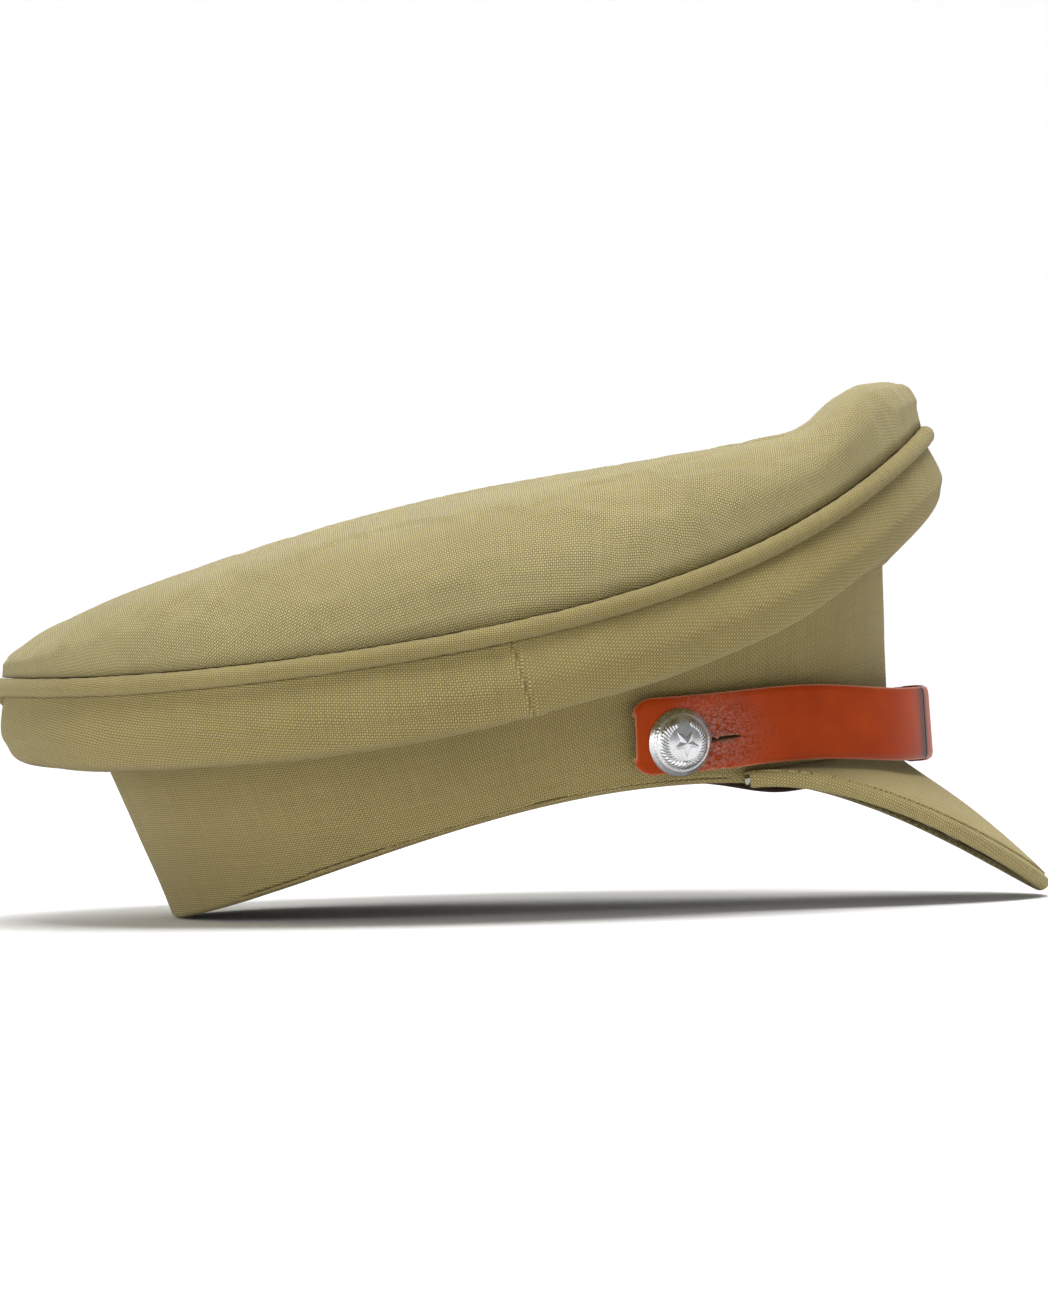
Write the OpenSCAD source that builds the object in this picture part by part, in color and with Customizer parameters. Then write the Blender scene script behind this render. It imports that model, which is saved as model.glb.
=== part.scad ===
// Military peaked cap: soft padded crown on a wire, upright band, sloping peak and
// a two-piece leather chin strap held by a domed button on each side.
// Sizes are in millimetres. The pieces are laid out in a wearing frame, with the rim
// plane at z = 0 and the peak towards +X. The whole cap is then tipped nose-up until
// the back of the rim and the tip of the peak both stand on the ground plane.

/* [Rim and band] */
// Half length of the rim, front to back
rim_a = 103; // [100:0.5:106]
// Half width of the rim, ear to ear
rim_b = 89; // [86:0.5:92]
// Height of the arch in the rim over each ear
rim_arch = 13; // [8:1:14]
// Height of the band at the front
band_front = 62; // [58:1:66]
// Height of the top of the band at each side
band_side = 41; // [39:1:44]
// Height of the top of the band at the back
band_back = 45; // [42:1:48]
// Half length of the top of the band
band_top_a = 113.5; // [112:0.5:117]
// Half width of the top of the band
band_top_b = 93; // [91:0.5:95]

/* [Crown] */
// Half length of the crown at its piping
crown_a = 135; // [132:1:140]
// Half width of the crown at its piping
crown_b = 123; // [118:1:128]
// Height of the middle of the crown top
crown_top_z = 102; // [99:1:106]
// Extra height of the raised front of the crown top
front_rise = 10; // [4:0.5:12]
// Fall of the crown top from its middle line to its sides
side_fall = 12; // [6:1:14]
// Angle from the front to each side seam of the crown
side_seam = 86; // [80:1:92]
// Diameter of the piping cord with its cover
piping_d = 5.2; // [4:0.2:5.4]
// Thickness of the foam in the crown
padding_t = 5; // [3:0.5:5.5]

/* [Peak] */
// Distance from the middle of the rim to the tip of the peak
peak_reach = 143; // [138:1:148]
// Drop of the tip of the peak below the rim plane
peak_drop = 36; // [30:1:40]
// Distance forward from the middle of the rim to the peak's corners
peak_corner_x = 60; // [56:1:64]
// Height of the peak where it meets the front of the band
peak_root_z = 8.5; // [7:0.5:10]

/* [Chin strap] */
// Width of the strap round the front
strap_w = 18.6; // [17:0.2:19.4]
// Width of the strap at its buttoned end
strap_end_w = 19.2; // [18:0.2:21]
// Thickness of the strap leather
strap_t = 1.8; // [1.4:0.1:2]
// Radius of the strap's curve round the front
strap_r = 71.5; // [70:0.5:73]
// Slope of the strap, down towards the front
strap_slope = 6.5; // [6:0.5:7]
// Angle from the front centre to the tip of each strap piece
strap_lap = 16; // [14:1:20]
// Angle from the front centre to each keeper
keeper_at = 11.5; // [11:0.5:13]
// Distance of each button hole below the middle of the strap
strap_lift = 2; // [0:0.2:2]
// Length of the slit from the button hole forward
slit_length = 20; // [14:1:22]

/* [Buttons] */
// Diameter of each side button
button_d = 18.4; // [16:0.2:19]
// Ring angle of each button, from the front
button_t = 66; // [64:1:67]
// Height of each button, as a share of the band's height
button_h = 0.33; // [0.3:0.01:0.36]

/* [Hidden] */

// Cloth, board and leather thicknesses
cloth_t = 1.2;
band_cloth_t = 0.9;
stiffener_t = 1.2;
sweat_t = 1.2;
lining_t = 0.6;
peak_cloth_t = 0.8;
peak_core_t = 1.6;
peak_lining_t = 0.6;
// Clear space between neighbouring layers
gap = 0.3;
peak_t = peak_cloth_t + peak_core_t + peak_lining_t + 2 * gap;
// Depth of each layer inside the outer face of the band
stiffener_d = band_cloth_t + gap;
stay_d = 3;
stay_t = 0.9;
sweat_d = 5.4;
// Depth and height, as a share of the band, of the lining's foot behind the sweatband
lining_foot_d = 4.3;
lining_foot_h = 0.7;
// Middle of the crown outline and of the band's top, forward of the rim's middle
crown_cx = -3.5;
band_top_cx = 0;
// Depth of the crown wire and of the lining inside the crown outline
wire_d = 4.2;
wire_r = 1.2;
wire_drop = 0.8;
lining_d = 7;
// Depth of the piping's middle, just outside the crown outline, and its wall
piping_depth = -0.8;
piping_wall = 0.9;
// Ring angle at which the cord ends
cord_end = 176.4;
// Steps round a full ring
RING = [for (i = [0:59]) i * 6];
// Heights round the cap as cosine waves of the ring angle: front to back, twice, three and four times
PIPE_WAVE = [70.5, 8.5, 12.5, 2.5, 1];
FOLD_WAVE = [49, 9.5, 13, 2, 1];

// Peak: half width, height of its corners, bulge of its middle and power of its edge's fall
peak_half_w = 76;
peak_corner_z = 10.6;
peak_bulge = 16;
peak_fall = 1.65;
// Distance of the peak's root outside the band's face
peak_clear = 0.8;

// Chin strap: turn of its tight front arc, tail past the hole, end corners, upward bow
// and the distance from the front centre where that bow starts
arc_turn = 40;
strap_tail = 11.8;
strap_corner = 4;
strap_bow = 2;
bow_from = 32;
slit_w = 0.5;
keeper_half = 3.9;
keeper_wall = 1.1;

// Levels of the button's pieces above the outer face of the band, along the button's axis
strap_low = 1.2;
strap_mid = strap_low + strap_t / 2;
back_low = strap_low + strap_t + 1.2;
back_t = 0.7;
pin_level = -3.9;
pin_r = 0.7;
shank_r = 1.6;
shank_hole_r = 1.9;
strap_hole_r = 2.2;
collar_r = 3;
button_r = button_d / 2;
button_wall = 0.5;
button_skirt = 1;
button_rise = 4.2;

crown_colour = "#aea175";
cloth_colour = "#95865b";
leather_colour = "#993701";
dark_leather_colour = "#22190f";

// ---- Helpers ----

function mix(a, b, f) = a + (b - a) * f;
function unit(v) = v / norm(v);
function smooth(f) = let(c = min(1, max(0, f))) c * c * (3 - 2 * c);
function steps(a, b, n) = [for (i = [0:n]) mix(a, b, i / n)];
function wave(w, t) = w[0] + w[1] * cos(t) + w[2] * cos(2 * t) + w[3] * cos(3 * t) + w[4] * cos(4 * t);

// Smooth curve through the points p, with n steps between each pair
function through(p, n) = [
    for (i = [0:len(p) - 2], j = [0:n - 1])
        let(a = p[max(0, i - 1)], b = p[i], c = p[i + 1], d = p[min(len(p) - 1, i + 2)], f = j / n)
            0.5 * (2 * b + (c - a) * f + (2 * a - 5 * b + 4 * c - d) * f * f
                + (3 * b - 3 * c + d - a) * f * f * f),
    p[len(p) - 1]
];

function quad(a, b, c, d) = [[a, b, c], [a, c, d]];

// Closed sheet between an outer grid and an inner grid of points. Rows run round the part,
// and the points of a row run upwards. poles closes the sheet over a middle point.
module sheet(outer, inner, ring = true, poles = []) {
    n = len(outer);
    m = len(outer[0]);
    last = ring ? n - 1 : n - 2;
    inside = n * m;
    pole = 2 * n * m;
    faces = [
        for (i = [0:last]) let(a = i * m, b = (i + 1) % n * m) each [
            for (k = [0:m - 2]) each quad(a + k, a + k + 1, b + k + 1, b + k),
            for (k = [0:m - 2]) let(c = inside + a + k, d = inside + b + k) each quad(c, d, d + 1, c + 1),
            each quad(a, b, inside + b, inside + a),
            each len(poles) > 0
                ? [[a + m - 1, pole, b + m - 1], [inside + a + m - 1, inside + b + m - 1, pole + 1]]
                : quad(b + m - 1, a + m - 1, inside + a + m - 1, inside + b + m - 1)
        ],
        if (!ring) for (k = [0:m - 2]) let(e = (n - 1) * m) each [
            each quad(k + 1, k, inside + k, inside + k + 1),
            each quad(e + k, e + k + 1, inside + e + k + 1, inside + e + k)
        ]
    ];
    polyhedron(concat([for (r = outer) each r], [for (r = inner) each r], poles), faces);
}

// Solid rod through closed sections
module rod(rows, ring = true) {
    n = len(rows);
    m = len(rows[0]);
    faces = [
        for (i = [0:ring ? n - 1 : n - 2], k = [0:m - 1])
            let(a = i * m, b = (i + 1) % n * m, l = (k + 1) % m) each quad(a + k, a + l, b + l, b + k),
        if (!ring) [for (k = [m - 1:-1:0]) k],
        if (!ring) [for (k = [0:m - 1]) (n - 1) * m + k]
    ];
    polyhedron([for (r = rows) each r], faces);
}

// ---- Shape of the cap in the wearing frame ----

function rim_z(t) = rim_arch * pow(abs(sin(t + 10 * sin(t))), 3);
function band_top_z(t) = let(ends = (band_front + band_back) / 2)
    (ends + band_side) / 2 + (band_front - band_back) / 2 * cos(t) + (ends - band_side) / 2 * cos(2 * t);

// Point of the band: h runs from 0 at the rim to 1 at the top, d is the depth inside its outer face
function band(t, h, d) = [
    band_top_cx * h + (mix(rim_a, band_top_a, h) - d) * cos(t),
    (mix(rim_b, band_top_b, h) - d) * sin(t),
    mix(rim_z(t), band_top_z(t), h)
];
function pipe_z(t) = wave(PIPE_WAVE, t);
function fold_z(t) = wave(FOLD_WAVE, t);
// Point at height z and depth d inside the crown's outline
function crown(t, d, z) = [crown_cx + (crown_a - d) * cos(t), (crown_b - d) * sin(t), z];
// Height of the crown's top over a point: raised at the front, falling away at the back and sides
function plateau(x, y) = crown_top_z + front_rise * smooth((x - 92) / 22)
    - 0.0009 * pow(max(0, 12 - x), 2) - side_fall * pow(y / crown_b, 2);
// Share of the crown's half width taken by its rounded shoulder
function shoulder(t) = mix(0.11 - 0.03 * cos(t), 0.22, pow(sin(t), 2));
// Point of the crown's dome: p runs from 0 at the edge to 1 in the middle
function dome(t, p, d) =
    let(
        flat = crown(t, d, 0),
        x = mix(flat.x, crown_cx, p),
        y = flat.y * (1 - p),
        q = 1 - min(1, p / shoulder(t)),
        base = pipe_z(t) + piping_d / 2 + 0.2
    )
    [x, y, mix(base, plateau(x, y) - d, pow(1 - pow(q, 2.6), 1 / 2.6))];
function dome_row(t, d) = let(e = shoulder(t)) [
    for (f = [0, 0.04, 0.12, 0.25, 0.45, 0.7, 1]) dome(t, f * e, d),
    for (f = DOME_STEPS) dome(t, mix(e, 1, f), d)
];
DOME_STEPS = [0.1, 0.22, 0.36, 0.65];

// Section of a crown side panel, from the top of the band, round the fold and up to the piping
function panel(t, d) =
    let(
        joint = band(t, 1, -0.4),
        edge = crown(t, 0, 0),
        low = mix(edge, joint, 0.12)
    )
    through([
        [mix(joint.x, edge.x, 0.02), mix(joint.y, edge.y, 0.02), band_top_z(t) + gap + d],
        [low.x, low.y, fold_z(t) + d],
        crown(t, d - 1.5, fold_z(t) + 6),
        crown(t, d - 2, pipe_z(t) - 11),
        crown(t, d + 0.6, pipe_z(t) - piping_d / 2 - 0.2)
    ], 3);

// Closed round section of radius r about the crown outline at depth d and height z
function round_section(t, d, z, r, sides) = [
    for (i = [0:sides - 1]) let(a = i * 360 / sides) crown(t, d - r * cos(a), z + r * sin(a))
];

// ---- Shape of the peak ----

peak_corner_t = acos(peak_corner_x / (rim_a + 2));
// Inner edge of the peak, just outside the band; u runs from -1 to 1 across the peak
function peak_root(u) =
    let(t = u * peak_corner_t, z = mix(peak_root_z, peak_corner_z, u * u),
        h = (z - rim_z(t)) / (band_top_z(t) - rim_z(t)), b = band(t, h, -peak_clear))
    [b.x, b.y, z];
// Outer edge of the peak: half an ellipse in plan, falling ever more steeply towards the tip
function peak_rim(u) =
    let(v = 90 * u, f = cos(v))
    [peak_corner_x + 1 + (peak_reach - peak_corner_x - 1) * f, peak_half_w * sin(v),
        peak_corner_z - (peak_drop + peak_corner_z) * pow(max(0, f), peak_fall)];
function peak_mid(u, v) =
    mix(peak_root(u), peak_rim(u), v) + [0, 0, peak_bulge * v * v * (1 - v) * cos(90 * u)];
// Point of the peak at depth d below its upper face; v runs from the root to the outer edge.
// The layers hang straight down at the root, clear of the band, and lie square further out.
function peak(u, v, d) =
    let(e = 0.02, along = peak_mid(u + e, v) - peak_mid(u - e, v),
        down = peak_mid(u, v + e) - peak_mid(u, v - e))
    peak_mid(u, v) + unit(mix([0, 0, -1], unit(cross(along, down)), min(1, 2 * v))) * d;
PEAK_U = steps(-0.985, 0.985, 26);
PEAK_V = [0, 0.3, 0.6, 0.85, 1];

// ---- Standing pose ----

stand_tilt = atan((peak_drop + peak_t) / (peak_reach + rim_a - 3));
rise = rim_a * sin(stand_tilt);
middle_x = -2.2;
module standing() {
    translate([-middle_x, 0, rise]) rotate([0, -stand_tilt, 0]) children();
}

// ---- Buttons and the strap's path ----

button_foot = band(button_t, button_h, 0);
button_across = unit(band(button_t + 1, button_h, 0) - band(button_t - 1, button_h, 0));
button_up = unit(band(button_t, button_h + 0.1, 0) - band(button_t, button_h - 0.1, 0));
button_out = unit(cross(button_across, button_up));
button_side = unit(cross(button_up, button_out));

// The strap swings about the line through the holes in its two ends
hinge = button_foot + button_out * strap_mid;
swing_x = hinge.x;
swing_z = hinge.z;
// Direction out of the buttoned end, seen in the strap's own sloping frame
function sloped(v) = [v.x * cos(strap_slope) - v.z * sin(strap_slope), v.y,
    v.x * sin(strap_slope) + v.z * cos(strap_slope)];
end_out = sloped(button_out);
end_turn = atan2(end_out.y, end_out.x);
end_twist = -asin(end_out.z);
// The strap runs in a tight arc round the front, a wide arc each side, and straight to the button
side_gain = (sin(end_turn) - sin(arc_turn)) - (cos(arc_turn) - cos(end_turn)) / tan(end_turn);
side_r = (hinge.y - strap_r * (sin(arc_turn) + cos(arc_turn) / tan(end_turn))) / side_gain;
arc_len = strap_r * arc_turn * PI / 180;
side_len = side_r * (end_turn - arc_turn) * PI / 180;
side_end = [strap_r * cos(arc_turn) - side_r * (cos(arc_turn) - cos(end_turn)),
    strap_r * sin(arc_turn) + side_r * (sin(end_turn) - sin(arc_turn))];
hole_at = arc_len + side_len + side_end.x / sin(end_turn);
// Distance of each strap piece from the middle of the pair, where they lap
lap_offset = (strap_t + gap) / 2;

function path_turn(s) = s < arc_len ? s / strap_r * 180 / PI
    : min(end_turn, arc_turn + (s - arc_len) / side_r * 180 / PI);
function path_point(s) = let(a = path_turn(s))
    s < arc_len ? strap_r * [cos(a), sin(a)]
    : s < arc_len + side_len
        ? [strap_r * cos(arc_turn) - side_r * (cos(arc_turn) - cos(a)),
            strap_r * sin(arc_turn) + side_r * (sin(a) - sin(arc_turn))]
        : side_end + (s - arc_len - side_len) * [-sin(end_turn), cos(end_turn)];
// Point of a strap piece: s along the path from the front centre, towards +Y when positive;
// w across the width and d out of the mid surface; layer is 1 on the outer piece, -1 on the inner
function strap_point(s, w, d, layer) =
    let(
        far = abs(s),
        side = sign(s) == 0 ? 1 : sign(s),
        a = path_turn(far),
        f = smooth((far - arc_len) / side_len),
        share = min(1, max(0, (far - arc_len) / (hole_at - arc_len))),
        bow = strap_bow * pow(sin(180 * min(1, max(0, (far - bow_from) / (hole_at - bow_from)))), 2),
        twist = end_twist * f,
        p = path_point(far),
        rise = w + strap_lift * smooth(share),
        out = d * cos(twist) + rise * sin(twist) + layer * lap_offset * (1 - f)
    )
    [p[0] + out * cos(a), side * (p[1] + out * sin(a)),
        bow + rise * cos(twist) - d * sin(twist)];

module sloping() {
    translate([swing_x, 0, swing_z]) rotate([0, strap_slope, 0]) children();
}

// Half width of the strap at distance s from the front centre and e from its nearer end
function strap_half(s, e) = mix(strap_w, strap_end_w, smooth((s - arc_len) / (hole_at - arc_len))) / 2
    - (e < strap_corner ? strap_corner - sqrt(pow(strap_corner, 2) - pow(strap_corner - e, 2)) : 0);

// One strap piece: from the buttoned end on the side given, round the front to its tip
module strap(side, layer) {
    end = hole_at + strap_tail;
    tip = strap_r * strap_lap * PI / 180;
    from_end = [0, 0.3, 1, 2.2, 4, 7, 13, 16, 19];
    stations = concat(
        [for (e = from_end) [e - end, e]],
        [for (s = steps(from_end[8] + 3 - end, tip - 5, 36)) [s, 5]],
        [for (e = [4, 2.2, 1, 0.3, 0]) [tip - e, e]]
    );
    rows = side < 0 ? stations : [for (i = [len(stations) - 1:-1:0]) [-stations[i][0], stations[i][1]]];
    color(leather_colour) standing() sloping() difference() {
        sheet(
            [for (r = rows) let(h = strap_half(abs(r[0]), r[1])) [for (w = [-h, 0, h])
                strap_point(r[0], w, strap_t / 2, layer)]],
            [for (r = rows) let(h = strap_half(abs(r[0]), r[1])) [for (w = [-h, 0, h])
                strap_point(r[0], w, -strap_t / 2, layer)]],
            ring = false
        );
        at_strap_hole(side) {
            cylinder(h = 8, r = strap_hole_r, center = true, $fn = 48);
            translate([-slit_length, -slit_w / 2, -4]) cube([slit_length - shank_r, slit_w, 8]);
        }
    }
}

// Axes of a strap hole in the strap's sloping frame, with Z out of the strap
module at_strap_hole(side) {
    across = sloped(button_side);
    up = sloped(button_up);
    mirror([0, side < 0 ? 1 : 0, 0]) translate([0, hinge.y, 0])
        multmatrix([
            [across.x, up.x, end_out.x, 0],
            [across.y, up.y, end_out.y, 0],
            [across.z, up.z, end_out.z, 0]
        ]) rotate([0, 0, 180]) mirror([1, 0, 0]) children();
}

// Axes of a button, with Z out of the band from its outer face
module at_button(side) {
    mirror([0, side < 0 ? 1 : 0, 0]) multmatrix([
        [button_side.x, button_up.x, button_out.x, button_foot.x],
        [button_side.y, button_up.y, button_out.y, button_foot.y],
        [button_side.z, button_up.z, button_out.z, button_foot.z]
    ]) children();
}

// ---- Crown ----

module dome_sheet(d, t) {
    sheet(
        [for (a = RING) dome_row(a, d)],
        [for (a = RING) dome_row(a, d + t)],
        poles = [dome(0, 1, d), dome(0, 1, d + t)]
    );
}

module crown_top() {
    color(crown_colour) standing() dome_sheet(0, cloth_t);
}

module crown_padding() {
    color("#e6e2d3") standing() dome_sheet(cloth_t + gap, padding_t);
}

// The lining hangs inside the padding, comes in to the top of the band and is caught behind the sweatband
module crown_lining() {
    function row(a, t) =
        let(foot_d = lining_foot_d + t, d = lining_d + t, top = band(a, 1, foot_d) + [0, 0, 2])
        concat(
            [band(a, lining_foot_h, foot_d), band(a, mix(lining_foot_h, 1, 0.5), foot_d),
                top, mix(top, dome(a, 0, d), 0.5)],
            dome_row(a, d)
        );
    color("#7c7457") standing() sheet(
        [for (a = RING) row(a, 0)],
        [for (a = RING) row(a, lining_t)],
        poles = [dome(0, 1, lining_d), dome(0, 1, lining_d + lining_t)]
    );
}

module quarter(from, to) {
    seam = 0.06;
    turns = steps(from + seam, to - seam, 15);
    color(cloth_colour) standing() sheet(
        [for (a = turns) panel(a, 0)],
        [for (a = turns) panel(a, cloth_t)],
        ring = false
    );
}

module quarter_front_left() { quarter(0, side_seam); }
module quarter_rear_left() { quarter(side_seam, 180); }
module quarter_rear_right() { quarter(180, 360 - side_seam); }
module quarter_front_right() { quarter(360 - side_seam, 360); }

// Folded strip round the cord, open towards the inside of the cap and joined at the back
module crown_piping() {
    turns = steps(-179.8, 179.8, 60);
    arc = steps(-150, 150, 7);
    function row(a, r) = [for (f = arc) crown(a, piping_depth - r * cos(f), pipe_z(a) + r * sin(f))];
    color(cloth_colour) standing() sheet(
        [for (a = turns) row(a, piping_d / 2)],
        [for (a = turns) row(a, piping_d / 2 - piping_wall)],
        ring = false
    );
}

// Cord inside the piping, trimmed short of the join at the back
module piping_cord() {
    turns = steps(-cord_end, cord_end, 60);
    cord_r = piping_d / 2 - piping_wall - gap;
    color("#d8d2bf") standing()
        rod([for (a = turns) round_section(a, piping_depth, pipe_z(a), cord_r, 6)], ring = false);
}

// Sprung wire that holds the crown out, with its ends in a ferrule at the back
module crown_wire() {
    turns = steps(-179.8, 179.8, 60);
    color("#8d8f92") standing()
        rod([for (a = turns) round_section(a, wire_d, pipe_z(a) - wire_drop, wire_r, 6)], ring = false);
}

module wire_ferrule() {
    module tube(turns, r) {
        rod([for (a = turns) round_section(a, wire_d, pipe_z(a) - wire_drop, r, 8)], ring = false);
    }
    color("#b08d3e") standing() difference() {
        tube(steps(174, 186, 4), wire_r + 0.7);
        tube(steps(173, 187, 5), wire_r + 0.25);
    }
}

// Stiff tongue inside the front, from the band up to the crown's edge
module front_stay() {
    function row(a, d) = [
        band(a, 0.35, d), band(a, 0.7, d), band(a, 1, d),
        crown(a, d + 3.5, pipe_z(a) - 6)
    ];
    turns = steps(-16, 16, 8);
    color("#e9e7df") standing() sheet(
        [for (a = turns) row(a, stay_d)],
        [for (a = turns) row(a, stay_d + stay_t)],
        ring = false
    );
}

// ---- Band ----

module band_layer(d, t, low, high) {
    heights = steps(low, high, 3);
    difference() {
        sheet(
            [for (a = RING) [for (h = heights) band(a, h, d)]],
            [for (a = RING) [for (h = heights) band(a, h, d + t)]]
        );
        for (side = [-1, 1]) at_button(side) cylinder(h = 12, r = shank_hole_r, center = true, $fn = 48);
    }
}

module band_cover() {
    color(cloth_colour) standing() band_layer(0, band_cloth_t, 0, 1);
}

module band_stiffener() {
    color("#dddacb") standing() band_layer(stiffener_d, stiffener_t, 0.01, 0.97);
}

// Leather band against the head, sewn in at the rim and joined at the back
module sweatband() {
    turns = steps(-179.8, 179.8, 60);
    function tall(a) = min(38, 0.86 * (band_top_z(a) - rim_z(a))) / (band_top_z(a) - rim_z(a));
    function row(a, d) = [
        band(a, 0, d - 2.2) + [0, 0, 0.3],
        band(a, 0, d) + [0, 0, 4],
        band(a, tall(a) * 0.55, d),
        band(a, tall(a), d)
    ];
    color(dark_leather_colour) standing() sheet(
        [for (a = turns) row(a, sweat_d)],
        [for (a = turns) row(a, sweat_d + sweat_t)],
        ring = false
    );
}

// ---- Peak ----

module peak_layer(d, t) {
    sheet(
        [for (u = PEAK_U) [for (v = PEAK_V) peak(u, 1 - v, d)]],
        [for (u = PEAK_U) [for (v = PEAK_V) peak(u, 1 - v, d + t)]],
        ring = false
    );
}

module peak_cover() {
    color("#a0925f") standing() peak_layer(0, peak_cloth_t);
}

module peak_core() {
    color("#ccc8ba") standing() peak_layer(peak_cloth_t + gap, peak_core_t);
}

module peak_lining() {
    color("#3e3016") standing() peak_layer(peak_cloth_t + peak_core_t + 2 * gap, peak_lining_t);
}

// Strip of cloth along the outer edge
module peak_binding() {
    function row(u, e) =
        let(a = peak(u, 1, 0), b = peak(u, 1, peak_t), out = unit(peak_mid(u, 1) - peak_mid(u, 0.95)))
        [for (f = [1, 0.85, 0.5, 0.15, 0]) mix(a, b, f) + out * (e * (1 - pow(2 * f - 1, 4)) + 0.4)];
    color("#8e7f5b") standing() sheet(
        [for (u = PEAK_U) row(u, 1.3)],
        [for (u = PEAK_U) row(u, 0)],
        ring = false
    );
}

// ---- Chin strap and buttons ----

module right_strap() { strap(-1, 1); }
module left_strap() { strap(1, -1); }

// Leather loop that slides along both strap pieces
module keeper(side) {
    clear_t = strap_t + gap / 2 + gap;
    clear_w = strap_w / 2 + gap;
    color("#7d2c06") standing() sloping()
        rotate([0, 0, side * keeper_at - keeper_half]) rotate_extrude(angle = 2 * keeper_half, $fn = 180)
            translate([strap_r, 0]) difference() {
                square([2 * (clear_t + keeper_wall), 2 * (clear_w + keeper_wall)], center = true);
                square([2 * clear_t, 2 * clear_w], center = true);
            }
}

module right_keeper() { keeper(-1); }
module left_keeper() { keeper(1); }

module button_dome(side) {
    sphere_r = (pow(button_r, 2) + pow(button_rise, 2)) / (2 * button_rise);
    top = back_low + button_skirt + button_rise;
    color("#c9ccd0") standing() at_button(side) difference() {
        intersection() {
            translate([0, 0, back_low]) cylinder(h = 12, r = button_r, $fn = 96);
            translate([0, 0, top - sphere_r]) sphere(r = sphere_r, $fn = 96);
        }
        intersection() {
            translate([0, 0, back_low - 1]) cylinder(h = 12, r = button_r - button_wall, $fn = 96);
            translate([0, 0, top - sphere_r]) sphere(r = sphere_r - button_wall, $fn = 96);
        }
    }
}

module button_back(side) {
    color("#a9a9a6") standing() at_button(side) translate([0, 0, back_low + 0.1]) difference() {
        cylinder(h = back_t, r = button_r - button_wall - 0.1, $fn = 96);
        translate([0, 0, -1]) cylinder(h = 3, r = shank_r + 0.05, $fn = 48);
    }
}

module button_shank(side) {
    low = pin_level - 1.1;
    high = back_low + 1.1;
    color("#b9bbbd") standing() at_button(side) difference() {
        union() {
            translate([0, 0, low]) cylinder(h = high - low, r = shank_r, $fn = 48);
            translate([0, 0, back_low + back_t + 0.2]) cylinder(h = 0.5, r = collar_r, $fn = 48);
        }
        translate([0, 0, pin_level]) rotate([0, 90, 0])
            cylinder(h = 8, r = pin_r + 0.15, center = true, $fn = 32);
    }
}

// Split pin through the shank, behind the band's stiffener
module split_pin(side) {
    length = 13;
    eye_r = 1.5;
    color("#c2b280") standing() at_button(side) translate([-length / 2, 0, pin_level]) {
        rotate([0, 90, 0]) cylinder(h = length, r = pin_r, $fn = 32);
        translate([-eye_r, 0, 0]) rotate_extrude($fn = 48)
            translate([eye_r, 0]) circle(r = pin_r * 0.8, $fn = 24);
    }
}

module right_button_dome() { button_dome(-1); }
module right_button_back() { button_back(-1); }
module right_button_shank() { button_shank(-1); }
module right_split_pin() { split_pin(-1); }
module left_button_dome() { button_dome(1); }
module left_button_back() { button_back(1); }
module left_button_shank() { button_shank(1); }
module left_split_pin() { split_pin(1); }

crown_top();
crown_padding();
crown_lining();
quarter_front_left();
quarter_front_right();
quarter_rear_left();
quarter_rear_right();
crown_piping();
piping_cord();
crown_wire();
wire_ferrule();
front_stay();
band_cover();
band_stiffener();
sweatband();
peak_cover();
peak_core();
peak_lining();
peak_binding();
right_strap();
left_strap();
right_keeper();
left_keeper();
right_button_dome();
right_button_back();
right_button_shank();
right_split_pin();
left_button_dome();
left_button_back();
left_button_shank();
left_split_pin();
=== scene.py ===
import math

import bpy
import numpy as np
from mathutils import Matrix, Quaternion, Vector

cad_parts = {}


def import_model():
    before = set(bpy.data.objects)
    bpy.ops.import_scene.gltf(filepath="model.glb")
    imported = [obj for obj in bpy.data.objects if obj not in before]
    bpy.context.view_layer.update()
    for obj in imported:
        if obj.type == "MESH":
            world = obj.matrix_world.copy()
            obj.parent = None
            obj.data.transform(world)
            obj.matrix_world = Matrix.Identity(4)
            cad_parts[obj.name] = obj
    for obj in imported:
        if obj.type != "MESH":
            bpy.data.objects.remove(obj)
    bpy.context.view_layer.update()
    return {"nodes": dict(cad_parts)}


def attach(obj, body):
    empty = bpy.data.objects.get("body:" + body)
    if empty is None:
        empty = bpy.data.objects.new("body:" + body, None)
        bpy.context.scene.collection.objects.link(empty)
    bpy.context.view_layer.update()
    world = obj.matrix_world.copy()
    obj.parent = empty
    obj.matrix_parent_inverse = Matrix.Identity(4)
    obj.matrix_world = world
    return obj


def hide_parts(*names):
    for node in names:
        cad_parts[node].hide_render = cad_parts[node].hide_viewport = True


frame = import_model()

# A military peaked cap. Sizes are in millimetres in the cap's wearing frame, where the rim
# plane is z = 0 and the peak points towards +X. to_frame() stands the cap up, in metres.

# ---- Driving sizes, as in the CAD model ----

RIM_A, RIM_B, RIM_ARCH = 103, 89, 13
BAND_FRONT, BAND_SIDE, BAND_BACK = 62, 41, 45
BAND_TOP_A, BAND_TOP_B, BAND_TOP_CX = 113.5, 93, 0
CROWN_A, CROWN_B, CROWN_CX = 135, 123, -3.5
CROWN_TOP_Z, FRONT_RISE, SIDE_FALL, SIDE_SEAM = 102, 10, 12, 86
PIPING_D, PADDING_T, CLOTH_T = 5.2, 5, 1.2
SEAM_LEAN = 1.1
PIPE_WAVE = (70.5, 8.5, 12.5, 2.5, 1)
FOLD_WAVE = (49, 9.5, 13, 2, 1)
GAP = 0.3
SWEATBAND_D, SWEATBAND_T = 5.4, 1.2

PEAK_REACH, PEAK_DROP, PEAK_CORNER_X, PEAK_HALF_W = 143, 36, 60, 76
PEAK_ROOT_Z, PEAK_CORNER_Z, PEAK_T = 8.5, 10.6, 3.6
PEAK_BULGE, PEAK_FALL = 16, 1.65

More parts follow.
